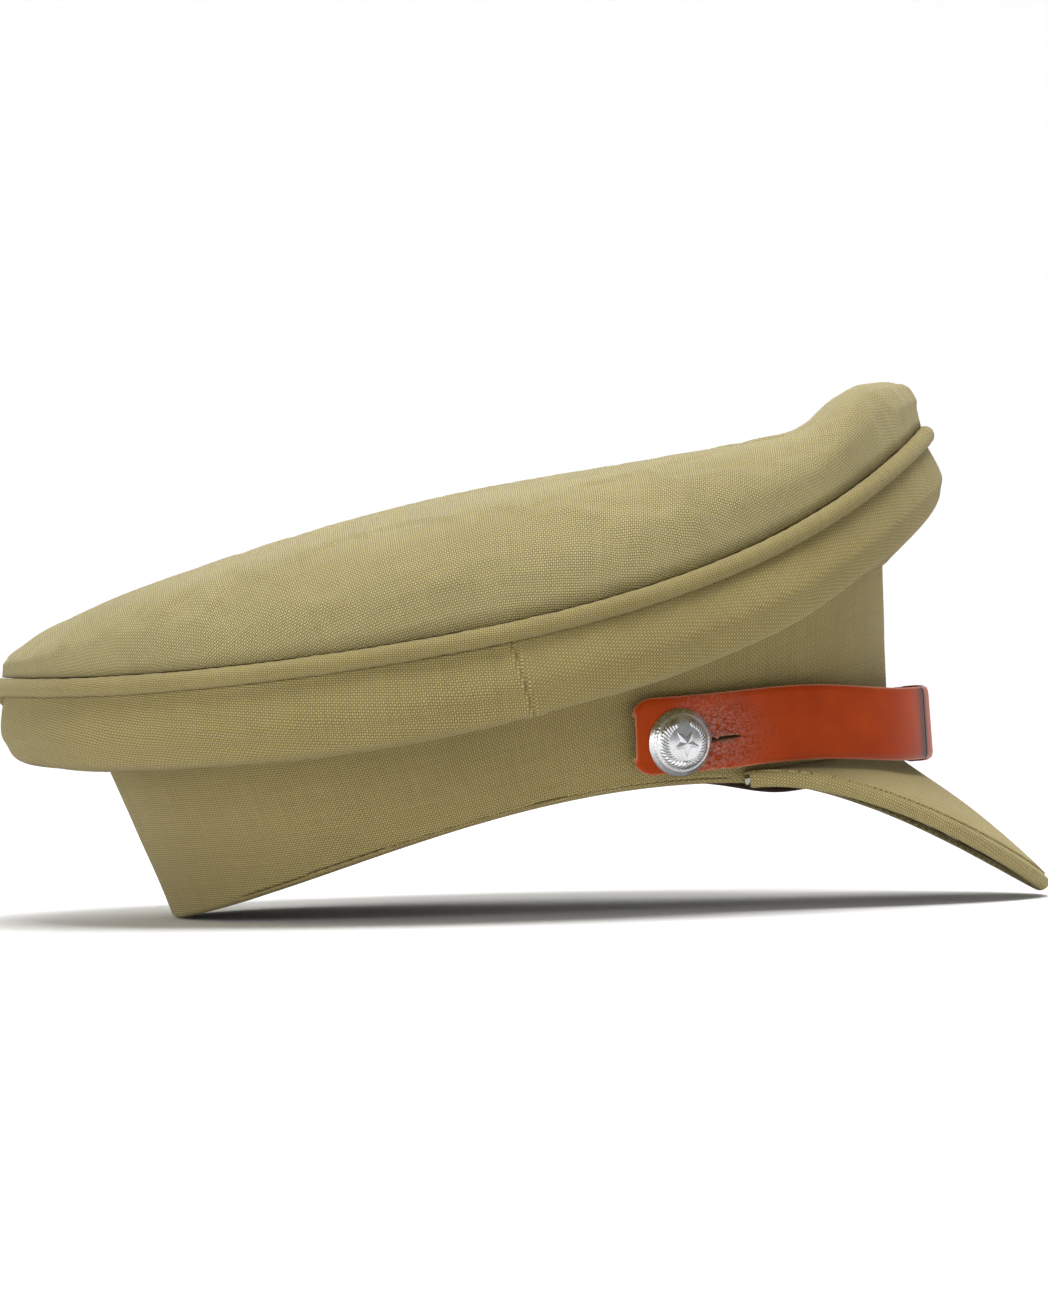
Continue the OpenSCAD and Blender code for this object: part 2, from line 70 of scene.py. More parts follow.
STRAP_W, STRAP_END_W, STRAP_T, STRAP_R = 18.6, 19.2, 1.8, 71.5
STRAP_SLOPE, STRAP_LAP, STRAP_TAIL, STRAP_CORNER, STRAP_BOW = 6.5, 16, 11.8, 4, 2
STRAP_LIFT, SLIT_LENGTH, BOW_FROM = 2, 20, 32
ARC_TURN, KEEPER_AT, KEEPER_HALF = 40, 11.5, 3.9
# Stretch of the near strap, from the front centre, that carries a painted dark reflection, and the mark
# above which its faces turn near-black.
PAINTED_REFLECTION_FROM, PAINTED_REFLECTION_TO, PAINTED_REFLECTION_FACE = 17, 30, 0.93

BUTTON_R, BUTTON_T, BUTTON_H, BUTTON_RISE, BUTTON_SKIRT = 9.2, 66, 0.33, 4.2, 1
STRAP_LOW, SHANK_HOLE = 1.2, 2.2
BACK_LOW = STRAP_LOW + STRAP_T + 1.2

MM = 0.001
MIDDLE_X = -2.2
TILT = math.atan((PEAK_DROP + PEAK_T) / (PEAK_REACH + RIM_A - 3))
RISE = RIM_A * math.sin(TILT)


# ---- Helpers for points ----

def to_frame(p):
    """Points of the wearing frame, in millimetres, as points of the row frame, in metres."""
    x, y, z = np.moveaxis(np.asarray(p, float), -1, 0)
    c, s = math.cos(TILT), math.sin(TILT)
    return np.stack([c * x - s * z - MIDDLE_X, y, s * x + c * z + RISE], -1) * MM


def sind(a):
    return np.sin(np.radians(a))


def cosd(a):
    return np.cos(np.radians(a))


def mix(a, b, f):
    return a + (b - a) * f


def smooth(f):
    c = np.clip(f, 0, 1)
    return c * c * (3 - 2 * c)


def unit(v):
    return v / np.maximum(np.linalg.norm(v, axis=-1, keepdims=True), 1e-12)


def xyz(x, y, z):
    return np.stack(np.broadcast_arrays(np.asarray(x, float), y, z), -1)


def through(points, n):
    """Smooth curve through the points, stacked on the first axis, with n steps between each pair."""
    out = []
    last = len(points) - 1
    for i in range(last):
        a, b, c, d = points[max(0, i - 1)], points[i], points[i + 1], points[min(last, i + 2)]
        for f in np.arange(n) / n:
            out.append(0.5 * (2 * b + (c - a) * f + (2 * a - 5 * b + 4 * c - d) * f ** 2
                              + (3 * b - 3 * c + d - a) * f ** 3))
    out.append(points[-1])
    return np.stack(out)


def from_front(t):
    """How far the turn t is from the front, 0 to 180 degrees."""
    return np.abs((t + 180) % 360 - 180)


def pair(a, b, shape):
    """Two values, each spread over a grid of this shape, as the grid's flat points."""
    return np.stack([np.broadcast_to(a, shape), np.broadcast_to(b, shape)], -1)


def swell(p, length, seed, count=18):
    """Soft random field over points p, about -1 to 1, whose bumps are about length across."""
    rng = np.random.default_rng(seed)
    total = 0
    for _ in range(count):
        way = unit(rng.normal(size=p.shape[-1])) * 2 * np.pi / (length * rng.uniform(1.4, 2.8))
        total = total + np.cos(p @ way + rng.uniform(0, 2 * np.pi))
    return total / math.sqrt(count / 2) * 0.6


def run_length(grid, axis):
    """Distance along one axis of a grid of points, from 0 at its first row."""
    step = np.linalg.norm(np.diff(grid, axis=axis), axis=-1)
    zero = np.zeros_like(np.take(step, [0], axis=axis))
    return np.concatenate([zero, np.cumsum(step, axis=axis)], axis=axis)


def grid_normals(grid, ring):
    """Unit normals of a grid of points; ring says that its rows close round the cap."""
    if ring:
        along = np.roll(grid, -1, 0) - np.roll(grid, 1, 0)
    else:
        along = np.gradient(grid, axis=0)
    return unit(np.cross(along, np.gradient(grid, axis=1)))


# ---- Shape of the cap ----

def wave(w, t):
    return sum(a * cosd(i * t) for i, a in enumerate(w))


def rim_z(t):
    return RIM_ARCH * np.abs(sind(t + 10 * sind(t))) ** 3


def band_top_z(t):
    ends = (BAND_FRONT + BAND_BACK) / 2
    return ((ends + BAND_SIDE) / 2 + (BAND_FRONT - BAND_BACK) / 2 * cosd(t)
            + (ends - BAND_SIDE) / 2 * cosd(2 * t))


def band(t, h, d):
    """Point of the band: h is 0 at the rim and 1 at the top, d the depth inside its outer face."""
    return xyz(BAND_TOP_CX * h + (mix(RIM_A, BAND_TOP_A, h) - d) * cosd(t),
               (mix(RIM_B, BAND_TOP_B, h) - d) * sind(t), mix(rim_z(t), band_top_z(t), h))


def crown(t, d, z):
    return xyz(CROWN_CX + (CROWN_A - d) * cosd(t), (CROWN_B - d) * sind(t), z)


def pipe_z(t):
    return wave(PIPE_WAVE, t)


def fold_z(t):
    return wave(FOLD_WAVE, t)


def plateau(x, y):
    return (CROWN_TOP_Z + FRONT_RISE * smooth((x - 92) / 22)
            - 0.0009 * np.maximum(0, 12 - x) ** 2 - SIDE_FALL * (y / CROWN_B) ** 2)


def shoulder(t):
    return mix(0.11 - 0.03 * cosd(t), 0.22, sind(t) ** 2)


def dome(t, p, d):
    """Point of the crown's dome: p is 0 at the edge and 1 in the middle."""
    flat = crown(t, d, 0.0)
    x = mix(flat[..., 0], CROWN_CX, p)
    y = flat[..., 1] * (1 - p)
    q = 1 - np.minimum(1, p / shoulder(t))
    return xyz(x, y, mix(pipe_z(t) + PIPING_D / 2 + 0.2, plateau(x, y) - d, (1 - q ** 2.6) ** (1 / 2.6)))


def panel(t, d, n):
    """Section of a side panel from the top of the band, round the fold and up to the piping."""
    joint, edge = band(t, 1, -0.4), crown(t, 0, 0.0)
    low = mix(edge, joint, 0.12)
    inside = mix(joint, edge, 0.02)
    return through(np.stack([
        xyz(inside[..., 0], inside[..., 1], band_top_z(t) + GAP + d),
        xyz(low[..., 0], low[..., 1], fold_z(t) + d),
        crown(t, d - 1.5, fold_z(t) + 6),
        crown(t, d - 2, pipe_z(t) - 11),
        crown(t, d + 0.6, pipe_z(t) - PIPING_D / 2 - 0.2)]), n)


PEAK_CORNER_T = math.degrees(math.acos(PEAK_CORNER_X / (RIM_A + 2)))


def peak_root(u):
    t, z = u * PEAK_CORNER_T, mix(PEAK_ROOT_Z, PEAK_CORNER_Z, u * u)
    b = band(t, (z - rim_z(t)) / (band_top_z(t) - rim_z(t)), -0.8)
    return xyz(b[..., 0], b[..., 1], z)


def peak_rim(u):
    f = np.maximum(cosd(90 * u), 0)
    return xyz(PEAK_CORNER_X + 1 + (PEAK_REACH - PEAK_CORNER_X - 1) * f, PEAK_HALF_W * sind(90 * u),
               PEAK_CORNER_Z - (PEAK_DROP + PEAK_CORNER_Z) * f ** PEAK_FALL)


def peak_mid(u, v):
    v3 = np.asarray(v)[..., None]
    return mix(peak_root(u), peak_rim(u), v3) + xyz(0, 0, PEAK_BULGE * v * v * (1 - v) * cosd(90 * u))


def peak_normal(u, v):
    """Downward normal of the peak."""
    e = 0.01
    along = peak_mid(u + e, v) - peak_mid(u - e, v)
    return unit(np.cross(along, peak_mid(u, v + e) - peak_mid(u, v - e)))


def peak(u, v, d):
    """Point of the peak at depth d below its upper face; v is 0 at the root and 1 at the edge."""
    turn = np.minimum(1, 2 * v)[..., None]
    down = unit(mix(np.array([0, 0, -1.0]), peak_normal(u, v), turn))
    return peak_mid(u, v) + down * np.asarray(d)[..., None]


# ---- Buttons and the path of the strap ----

BUTTON_FOOT = band(BUTTON_T, BUTTON_H, 0)
BUTTON_ACROSS = unit(band(BUTTON_T + 1, BUTTON_H, 0) - band(BUTTON_T - 1, BUTTON_H, 0))
BUTTON_UP = unit(band(BUTTON_T, BUTTON_H + 0.1, 0) - band(BUTTON_T, BUTTON_H - 0.1, 0))
BUTTON_OUT = unit(np.cross(BUTTON_ACROSS, BUTTON_UP))
BUTTON_SIDE = unit(np.cross(BUTTON_UP, BUTTON_OUT))
HINGE = BUTTON_FOOT + BUTTON_OUT * (STRAP_LOW + STRAP_T / 2)


def sloped(v):
    """A direction of the wearing frame, seen in the strap's own sloping frame."""
    c, s = cosd(STRAP_SLOPE), sind(STRAP_SLOPE)
    return np.array([v[0] * c - v[2] * s, v[1], v[0] * s + v[2] * c])


END_OUT = sloped(BUTTON_OUT)
END_TURN = math.degrees(math.atan2(END_OUT[1], END_OUT[0]))
END_TWIST = -math.degrees(math.asin(END_OUT[2]))
END_TAN = math.tan(math.radians(END_TURN))
SIDE_GAIN = (sind(END_TURN) - sind(ARC_TURN)) - (cosd(ARC_TURN) - cosd(END_TURN)) / END_TAN
SIDE_R = (HINGE[1] - STRAP_R * (sind(ARC_TURN) + cosd(ARC_TURN) / END_TAN)) / SIDE_GAIN
ARC_LEN = STRAP_R * math.radians(ARC_TURN)
SIDE_LEN = SIDE_R * math.radians(END_TURN - ARC_TURN)
SIDE_END = (STRAP_R * cosd(ARC_TURN) - SIDE_R * (cosd(ARC_TURN) - cosd(END_TURN)),
            STRAP_R * sind(ARC_TURN) + SIDE_R * (sind(END_TURN) - sind(ARC_TURN)))
HOLE_AT = ARC_LEN + SIDE_LEN + SIDE_END[0] / sind(END_TURN)


def strap_point(s, w, d, layer):
    """Point of a strap piece: s along it from the front centre, w across it and d out of it."""
    far, side = np.abs(s), np.where(s < 0, -1, 1)
    a = np.where(far < ARC_LEN, np.degrees(far / STRAP_R),
                 np.minimum(END_TURN, ARC_TURN + np.degrees((far - ARC_LEN) / SIDE_R)))
    past = np.maximum(0, far - ARC_LEN - SIDE_LEN)
    wide = far >= ARC_LEN
    px = np.where(wide, STRAP_R * cosd(ARC_TURN) - SIDE_R * (cosd(ARC_TURN) - cosd(a)),
                  STRAP_R * cosd(a))
    py = np.where(wide, STRAP_R * sind(ARC_TURN) + SIDE_R * (sind(a) - sind(ARC_TURN)),
                  STRAP_R * sind(a))
    px, py = px - past * sind(END_TURN), py + past * cosd(END_TURN)
    f = smooth((far - ARC_LEN) / SIDE_LEN)
    share = np.clip((far - ARC_LEN) / (HOLE_AT - ARC_LEN), 0, 1)
    bow = STRAP_BOW * sind(180 * np.clip((far - BOW_FROM) / (HOLE_AT - BOW_FROM), 0, 1)) ** 2
    twist = END_TWIST * f
    w = w + STRAP_LIFT * smooth(share)
    out = d * cosd(twist) + w * sind(twist) + layer * (STRAP_T + GAP) / 2 * (1 - f)
    return xyz(px + out * cosd(a), side * (py + out * sind(a)),
               bow + w * cosd(twist) - d * sind(twist))


def from_sloping(p):
    """Points of the strap's sloping frame as points of the wearing frame."""
    c, s = cosd(STRAP_SLOPE), sind(STRAP_SLOPE)
    return xyz(HINGE[0] + p[..., 0] * c + p[..., 2] * s, p[..., 1],
               HINGE[2] - p[..., 0] * s + p[..., 2] * c)


def strap_half(s, e):
    """Half width of the strap at s, and e from its nearer end."""
    inset = np.maximum(0, STRAP_CORNER - e)
    corner = STRAP_CORNER - np.sqrt(np.maximum(0, STRAP_CORNER ** 2 - inset ** 2))
    return mix(STRAP_W, STRAP_END_W, smooth((np.abs(s) - ARC_LEN) / (HOLE_AT - ARC_LEN))) / 2 - corner


def at_button(p, side):
    """Points of a button's own axes, with Z out of the band, as points of the wearing frame."""
    q = BUTTON_FOOT + p[..., :1] * BUTTON_SIDE + p[..., 1:2] * BUTTON_UP + p[..., 2:] * BUTTON_OUT
    return q * np.array([1, side, 1])


# ---- Mesh builders ----

def new_mesh(name, points, faces, uvs=None, marks=None, shade=True):
    """Object from points of the wearing frame. uvs has one pair for each corner of the faces, in
    millimetres, and marks is a dict of named values, one for each point."""
    mesh = bpy.data.meshes.new(name)
    mesh.from_pydata(to_frame(points).reshape(-1, 3).tolist(), [], faces)
    if uvs is not None:
        layer = mesh.uv_layers.new(name="Cloth")
        layer.data.foreach_set("uv", np.asarray(uvs, np.float32).ravel())
    for key, values in (marks or {}).items():
        mesh.attributes.new(key, "FLOAT", "POINT").data.foreach_set(
            "value", np.asarray(values, np.float32).ravel())
    mesh.validate()
    mesh.update()
    if shade:
        mesh.shade_smooth()
    obj = bpy.data.objects.new(name, mesh)
    bpy.context.scene.collection.objects.link(obj)
    return obj


def grid_corners(n, m, ring, loop, flip, keep=None):
    """Faces over an n by m grid and the grid cell of each corner, before wrapping."""
    i, k = np.meshgrid(np.arange(n if ring else n - 1), np.arange(m if loop else m - 1), indexing="ij")
    i, k = i.ravel(), k.ravel()
    if keep is not None:
        inside = keep[i, k]
        i, k = i[inside], k[inside]
    ii = np.stack([i, i, i + 1, i + 1], 1)
    kk = np.stack([k, k + 1, k + 1, k], 1)
    if flip:
        ii, kk = ii[:, ::-1], kk[:, ::-1]
    return ii, kk


def grid_object(name, grid, uv, ring=False, loop=False, flip=False, marks=None, keep=None, shade=True):
    """Surface over a grid of points. ring joins the last row to the first, and loop the ends of
    each row; uv then has one row or column more than the grid."""
    n, m = grid.shape[:2]
    ii, kk = grid_corners(n, m, ring, loop, flip, keep)
    faces = ((ii % n) * m + kk % m).tolist()
    return new_mesh(name, grid.reshape(-1, 3), faces, uv[ii, kk].reshape(-1, 2), marks, shade)


def modifier(obj, kind, **settings):
    made = obj.modifiers.new(kind.title(), kind)
    for key, value in settings.items():
        setattr(made, key, value)
    return made


def thicken(obj, thickness, offset=-1.0, rim_material=0, even=False):
    """Gives a sheet its thickness; offset -1 keeps the modelled face on the outside."""
    return modifier(obj, "SOLIDIFY", thickness=thickness * MM, offset=offset,
                    use_even_offset=even, material_offset_rim=rim_material)


def bevel(obj, width):
    """Rounds a piece's sharp edges."""
    modifier(obj, "BEVEL", width=width * MM, segments=2, limit_method="ANGLE",
             angle_limit=math.radians(50))


def facing(normal, grid):
    """Above 0 where a wall's normals point away from the middle of the cap."""
    return (normal[..., :2] * grid[..., :2]).sum()


def finish_piece(obj, material, body, nodes=()):
    obj.data.materials.append(material)
    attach(obj, body)
    if nodes:
        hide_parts(*nodes)
    return obj


def finer(grid, axis, ring):
    """Doubles a grid's points along one axis, on the smooth curve through them."""
    g = np.moveaxis(grid, axis, 0)
    if ring:
        before, after, far = np.roll(g, 1, 0), np.roll(g, -1, 0), np.roll(g, -2, 0)
    else:
        before = np.concatenate([g[:1], g[:-1]])
        after = np.concatenate([g[1:], g[-1:]])
        far = np.concatenate([g[2:], g[-1:], g[-1:]])
    middle = (9 * (g + after) - before - far) / 16
    both = np.stack([g, middle], 1).reshape(-1, *g.shape[1:])
    return np.moveaxis(both if ring else both[:-1], 0, axis)


def settled(grid, free, ring, grow, pressure, reach, outward, frames=18):
    """Cloth simulation of a grid of points in millimetres. Points where free is 0 are held, the
    cloth is cut larger by grow, no point moves further than reach, and none sinks into the layer
    behind it: outward is 1 or -1, the side of the grid's normals that is free."""
    n, m = grid.shape[:2]
    ii, kk = grid_corners(n, m, ring, False, False)
    obj = new_mesh("cloth_work", grid.reshape(-1, 3), ((ii % n) * m + kk % m).tolist())
    group = obj.vertex_groups.new(name="held")
    for index, value in enumerate(1 - np.broadcast_to(free, (n, m)).ravel()):
        group.add([index], float(value), "REPLACE")
    cloth = modifier(obj, "CLOTH")
    held = cloth.settings
    held.vertex_group_mass = "held"
    held.quality = 7
    held.mass = 0.25
    held.tension_stiffness = held.compression_stiffness = 18
    held.shear_stiffness = 6
    held.bending_stiffness = 0.6
    held.effector_weights.gravity = 0
    held.use_pressure = True
    held.uniform_pressure_force = pressure
    held.shrink_min = -grow
    cloth.point_cache.frame_start, cloth.point_cache.frame_end = 1, frames
    scene = bpy.context.scene
    for number in range(1, frames + 1):
        scene.frame_set(number)
    made = obj.evaluated_get(bpy.context.evaluated_depsgraph_get())
    moved = np.array([v.co for v in made.data.vertices], float).reshape(n, m, 3)
    move = (moved - to_frame(grid)) / MM
    bpy.data.objects.remove(obj)
    scene.frame_set(1)
    size = np.linalg.norm(move, axis=-1, keepdims=True)
    move = move * np.minimum(1, reach / np.maximum(size, 1e-9))
    c, s = math.cos(TILT), math.sin(TILT)
    back = np.stack([c * move[..., 0] + s * move[..., 2], move[..., 1],
                     -s * move[..., 0] + c * move[..., 2]], -1)
    normal = grid_normals(grid, ring) * outward
    height = (back * normal).sum(-1, keepdims=True)
    return grid + back + normal * (np.maximum(height, -0.1) - height)


# ---- Materials ----

def tinted(colour, share):
    return tuple(c * share for c in colour)


class Shader:
    """Small helper that builds one material's nodes."""

    def __init__(self, name):
        self.material = bpy.data.materials.new(name)
        self.material.use_nodes = True
        self.tree = self.material.node_tree
        self.out = self.tree.nodes["Principled BSDF"]

    def node(self, kind, *inputs, **settings):
        made = self.tree.nodes.new("ShaderNode" + kind)
        for key, value in settings.items():
            setattr(made, key, value)
        for socket, value in zip(made.inputs, inputs):
            self.feed(socket, value)
        return made

    def feed(self, socket, value):
        if value is None:
            return
        if isinstance(value, bpy.types.NodeSocket):
            self.tree.links.new(value, socket)
        elif isinstance(value, tuple) and len(value) == 3 and len(socket.default_value) == 4:
            socket.default_value = (*value, 1)
        else:
            socket.default_value = value

    def maths(self, operation, a, b=None, c=None, clamp=False):
        return self.node("Math", a, b, c, operation=operation, use_clamp=clamp).outputs[0]

    def plus(self, a, b):
        return self.maths("ADD", a, b)

    def times(self, a, b):
        return self.maths("MULTIPLY", a, b)

    def shift(self, operation, a, b=None):
        return self.node("VectorMath", a, b, operation=operation).outputs[0]

    def scaled(self, vector, *factors):
        return self.shift("MULTIPLY", vector, tuple(float(f) for f in factors))

    def noise(self, vector, scale, detail=2.0, roughness=0.5, colour=False):
        made = self.node("TexNoise", vector)
        made.inputs["Scale"].default_value = scale
        made.inputs["Detail"].default_value = detail
        made.inputs["Roughness"].default_value = roughness
        return made.outputs["Color" if colour else "Fac"]

    def grains(self, place, fineness, detail, roughness=0.5):
        """Noise with the same fineness in every direction."""
        return self.noise(self.scaled(place, fineness, fineness, fineness), 1.0, detail, roughness)

    def cells(self, vector, scale):
        made = self.node("TexVoronoi", vector, feature="F1")
        made.inputs["Scale"].default_value = scale
        return made.outputs["Distance"]

    def ramp(self, value, low, high, to_low=0.0, to_high=1.0):
        return self.node("MapRange", value, low, high, to_low, to_high, clamp=True).outputs[0]

    def blend(self, factor, a, b, kind="MIX"):
        made = self.tree.nodes.new("ShaderNodeMix")
        made.data_type, made.blend_type = "RGBA", kind
        for socket, value in ((made.inputs[0], factor), (made.inputs[6], a), (made.inputs[7], b)):
            self.feed(socket, value)
        return made.outputs[2]

    def mark(self, name):
        return self.node("Attribute", attribute_name=name).outputs["Fac"]

    def object_mm(self):
        """Place on the object in millimetres."""
        return self.scaled(self.node("TexCoord").outputs["Object"], 1000, 1000, 1000)

    def cloth_mm(self):
        """Place on the cloth in millimetres, from the piece's own flat map."""
        return self.node("UVMap", uv_map="Cloth").outputs[0]

    def bump(self, height, distance, strength=1.0, normal=None):
        made = self.node("Bump")
        made.inputs["Strength"].default_value = strength
        made.inputs["Distance"].default_value = distance * MM
        self.feed(made.inputs["Height"], height)
        self.feed(made.inputs["Normal"], normal)
        return made.outputs[0]

    def set(self, **inputs):
        for name, value in inputs.items():
            self.feed(self.out.inputs[name.replace("_", " ")], value)
        return self.material


def woven(name, colour, warp=0.58, weft=0.68, deep=0.34, relief=0.16, tone=0.09, floats=0.30):
    """Plain-woven cloth: yarns that pass over and under each other, uneven in thickness and tint."""
    s = Shader(name)
    place = s.cloth_mm()
    drift = s.noise(s.scaled(place, 0.045, 0.045, 0), 1, 2, colour=True)
    wobble = s.noise(s.scaled(place, 0.35, 0.35, 0), 1, 1, colour=True)
    place = s.shift("ADD", place, s.scaled(s.shift("SUBTRACT", drift, (0.5, 0.5, 0.5)), 1.6, 1.6, 0))
    place = s.shift("ADD", place, s.scaled(s.shift("SUBTRACT", wobble, (0.5, 0.5, 0.5)), 0.22, 0.22, 0))
    split = s.node("SeparateXYZ", place)
    across = s.maths("COSINE", s.times(split.outputs[0], math.pi / warp))
    along = s.maths("COSINE", s.times(split.outputs[1], math.pi / weft))
    over = s.maths("GREATER_THAN", s.times(across, along), 0.0)
    wide, tall = s.maths("ABSOLUTE", across), s.maths("ABSOLUTE", along)
    warp_yarn = s.times(s.maths("POWER", wide, 0.75), s.maths("POWER", tall, 0.35))
    weft_yarn = s.times(s.maths("POWER", wide, 0.35), s.maths("POWER", tall, 0.75))
    gap = s.maths("SUBTRACT", warp_yarn, weft_yarn)
    yarn = s.plus(weft_yarn, s.times(gap, over))
    slub_warp = s.noise(s.scaled(place, 1 / warp, 0.035, 0), 1.0, 1)
    slub_weft = s.noise(s.scaled(place, 0.035, 1 / weft, 0), 1.0, 1)
    fibre = s.grains(place, 5, 2)
    patch = s.grains(s.object_mm(), 0.03, 3)
    tint = s.plus(s.times(slub_warp, 0.5), s.times(slub_weft, 0.5))
    level = s.plus(s.ramp(tint, 0.3, 0.7, 1 - tone, 1 + tone),
                    s.ramp(fibre, 0.3, 0.7, -0.05, 0.05))
    level = s.plus(level, s.ramp(patch, 0.3, 0.7, -0.05, 0.05))
    level = s.plus(level, s.times(s.maths("SUBTRACT", over, 0.5), floats))
    # The low parts of the yarns, in the gaps between them, are darkened and blended to the shadow tint:
    # painted shade between the yarns.
    level = s.times(level, s.ramp(yarn, 0.1, 0.8, 1 - deep - 0.15, 1.05))
    level = s.times(level, s.ramp(s.mark("seam"), 0.0, 1.0, 1.0, 0.15))
    shadow = tuple(c * k for c, k in zip(colour, (0.72, 0.66, 0.50)))
    base = s.blend(s.ramp(yarn, 0.15, 0.75), shadow, colour)
    shade = s.node("CombineXYZ", level, level, level).outputs[0]
    raised = s.plus(yarn, s.times(over, 0.5))
    bump = s.bump(s.plus(raised, s.times(fibre, 0.25)), relief)
    return s.set(Base_Color=s.blend(1.0, base, shade, "MULTIPLY"), Roughness=0.86,
                 Sheen_Weight=0.12, Sheen_Roughness=0.45, Sheen_Tint=(1.0, 0.96, 0.82),
                 Specular_IOR_Level=0.25, Normal=bump)


def leather(name, colour, dark, roughness, grain, relief, coat, creases=False):
    """Finished leather with a pored grain and cut edges. Mark 'edge' pales the cut edges, mark 'crinkle'
    gives pebbled creases with lighter crests, partly rubbed wear and partly painted highlight, and mark
    'dark' paints a near-black dark reflection.
    """
    s = Shader(name)
    place = s.object_mm()
    cells = s.cells(s.scaled(place, grain, grain, grain), 1.0)
    pores = s.grains(place, 2.6 * grain, 3)
    patch = s.grains(place, 0.06, 4, 0.6)
    base = s.blend(s.ramp(patch, 0.35, 0.7), dark, colour)
    height = s.plus(s.times(cells, -0.5), s.times(pores, 0.5))
    bump = s.bump(height, relief)
    rough = s.ramp(pores, 0.3, 0.7, roughness - 0.05, roughness + 0.08)
    if creases:
        fold = s.mark("crinkle")
        flat = s.cloth_mm()
        pebble = s.cells(s.scaled(flat, 1.25, 1.5, 0), 1.0)
        fine = s.noise(s.scaled(flat, 1.4, 1.4, 0), 1.0, 3)
        pebble = s.plus(s.times(pebble, -0.8), s.times(fine, 0.8))
        bump = s.bump(s.times(pebble, fold), 0.9, normal=bump)
        # The raised crinkles are lightened to a pinkish tone: partly rubbed wear, partly painted
        # highlight.
        crinkle_wear_and_highlight = s.times(fold, s.ramp(pebble, -0.3, 0.25, 0.0, 0.8))
        base = s.blend(crinkle_wear_and_highlight, base, (0.46, 0.24, 0.20))
        # Near-black where mark 'dark' is set: a painted dark reflection on the near strap's front turn.
        base = s.blend(s.mark("dark"), base, (0.005, 0.0006, 0.0006))
        base = s.blend(s.mark("edge"), base, (0.50, 0.22, 0.13))
    return s.set(Base_Color=base, Roughness=rough, Coat_Weight=coat, Coat_Roughness=0.3,
                 Specular_IOR_Level=0.12, Normal=bump)


def cut_edge(name, colour):
    """Raw edge of a leather strap, pale and fibrous."""
    s = Shader(name)
    fibre = s.noise(s.scaled(s.object_mm(), 1.5, 1.5, 6), 1.0, 3)
    base = s.blend(s.ramp(fibre, 0.3, 0.7), tinted(colour, 0.7), colour)
    return s.set(Base_Color=base, Roughness=0.75, Normal=s.bump(fibre, 0.08))


def metal(name, colour, roughness, relief=0.03):
    """Plated or drawn metal with faint wear."""
    s = Shader(name)
    place = s.object_mm()
    wear = s.grains(place, 0.35, 4, 0.6)
    fine = s.grains(place, 3, 3)
    base = s.blend(s.ramp(wear, 0.35, 0.7), tinted(colour, 0.82), colour)
    rough = s.ramp(wear, 0.3, 0.7, roughness, roughness + 0.12)
    return s.set(Base_Color=base, Metallic=1.0, Roughness=rough, Normal=s.bump(fine, relief))


def soft(name, colour, scale, relief, roughness=0.9, sheen=0.0):
    """Foam, board, cord or plain smooth cloth."""
    s = Shader(name)
    place = s.object_mm()
    grain = s.grains(place, scale, 4, 0.6)
    patch = s.grains(place, 0.05, 3)
    base = s.blend(s.ramp(patch, 0.3, 0.7), tinted(colour, 0.86), colour)
    base = s.blend(s.ramp(grain, 0.3, 0.7), tinted(colour, 0.78), base)
    return s.set(Base_Color=base, Roughness=roughness, Sheen_Weight=sheen, Specular_IOR_Level=0.1,
                 Normal=s.bump(grain, relief))


def satin(name, colour):
    """Lining cloth: very fine warp-faced weave with a soft gloss along the yarn."""
    s = Shader(name)
    place = s.cloth_mm()
    yarns = s.noise(s.scaled(place, 3.5, 0.25, 0), 1.0, 2)
    cross = s.noise(s.scaled(place, 0.5, 5, 0), 1.0, 1)
    level = s.plus(s.times(yarns, 0.7), s.times(cross, 0.3))
    base = s.blend(s.ramp(level, 0.3, 0.7), tinted(colour, 0.72), colour)
    return s.set(Base_Color=base, Roughness=0.42, Anisotropic=0.5, Sheen_Weight=0.15,
                 Normal=s.bump(level, 0.12))


# The crown top and the side panels are one cloth: the top's paler, greyer colour is painted top light
# and sheen, and the sides' darker, more saturated colour is painted shade.
CROWN_CLOTH_PAINTED_LIT = woven("crown_cloth", (0.40, 0.343, 0.162))
SIDE_CLOTH_PAINTED_SHADE = woven("side_cloth", (0.345, 0.282, 0.112))
BAND_CLOTH = woven("band_cloth", (0.425, 0.345, 0.145), weft=0.6)
PEAK_CLOTH = woven("peak_cloth", (0.435, 0.36, 0.156))
PIPING_CLOTH = woven("piping_cloth", (0.33, 0.272, 0.112), warp=0.55, weft=0.6, relief=0.12, floats=0.24)
UNDERSIDE = woven("peak_underside", (0.13, 0.10, 0.045), warp=0.4, weft=0.4, relief=0.06,
                  deep=0.15, floats=0.1)
LINING = satin("lining_satin", (0.22, 0.18, 0.10))
FOAM = soft("foam", (0.80, 0.77, 0.68), 1.2, 0.5)
CORD = soft("cotton_cord", (0.70, 0.65, 0.52), 1.6, 0.4, sheen=0.2)
BOARD = soft("stiffened_board", (0.72, 0.70, 0.62), 2.2, 0.12, 0.8)
THREAD = soft("thread", (0.27, 0.20, 0.08), 4.0, 0.05, 0.7, 0.2)
DARK_THREAD = soft("dark_thread", (0.035, 0.02, 0.012), 4.0, 0.05, 0.6, 0.1)
STRAP_LEATHER = leather("strap_leather", (0.40, 0.047, 0.0), (0.32, 0.033, 0.0),
                        0.40, 1.6, 0.04, 0.0, True)
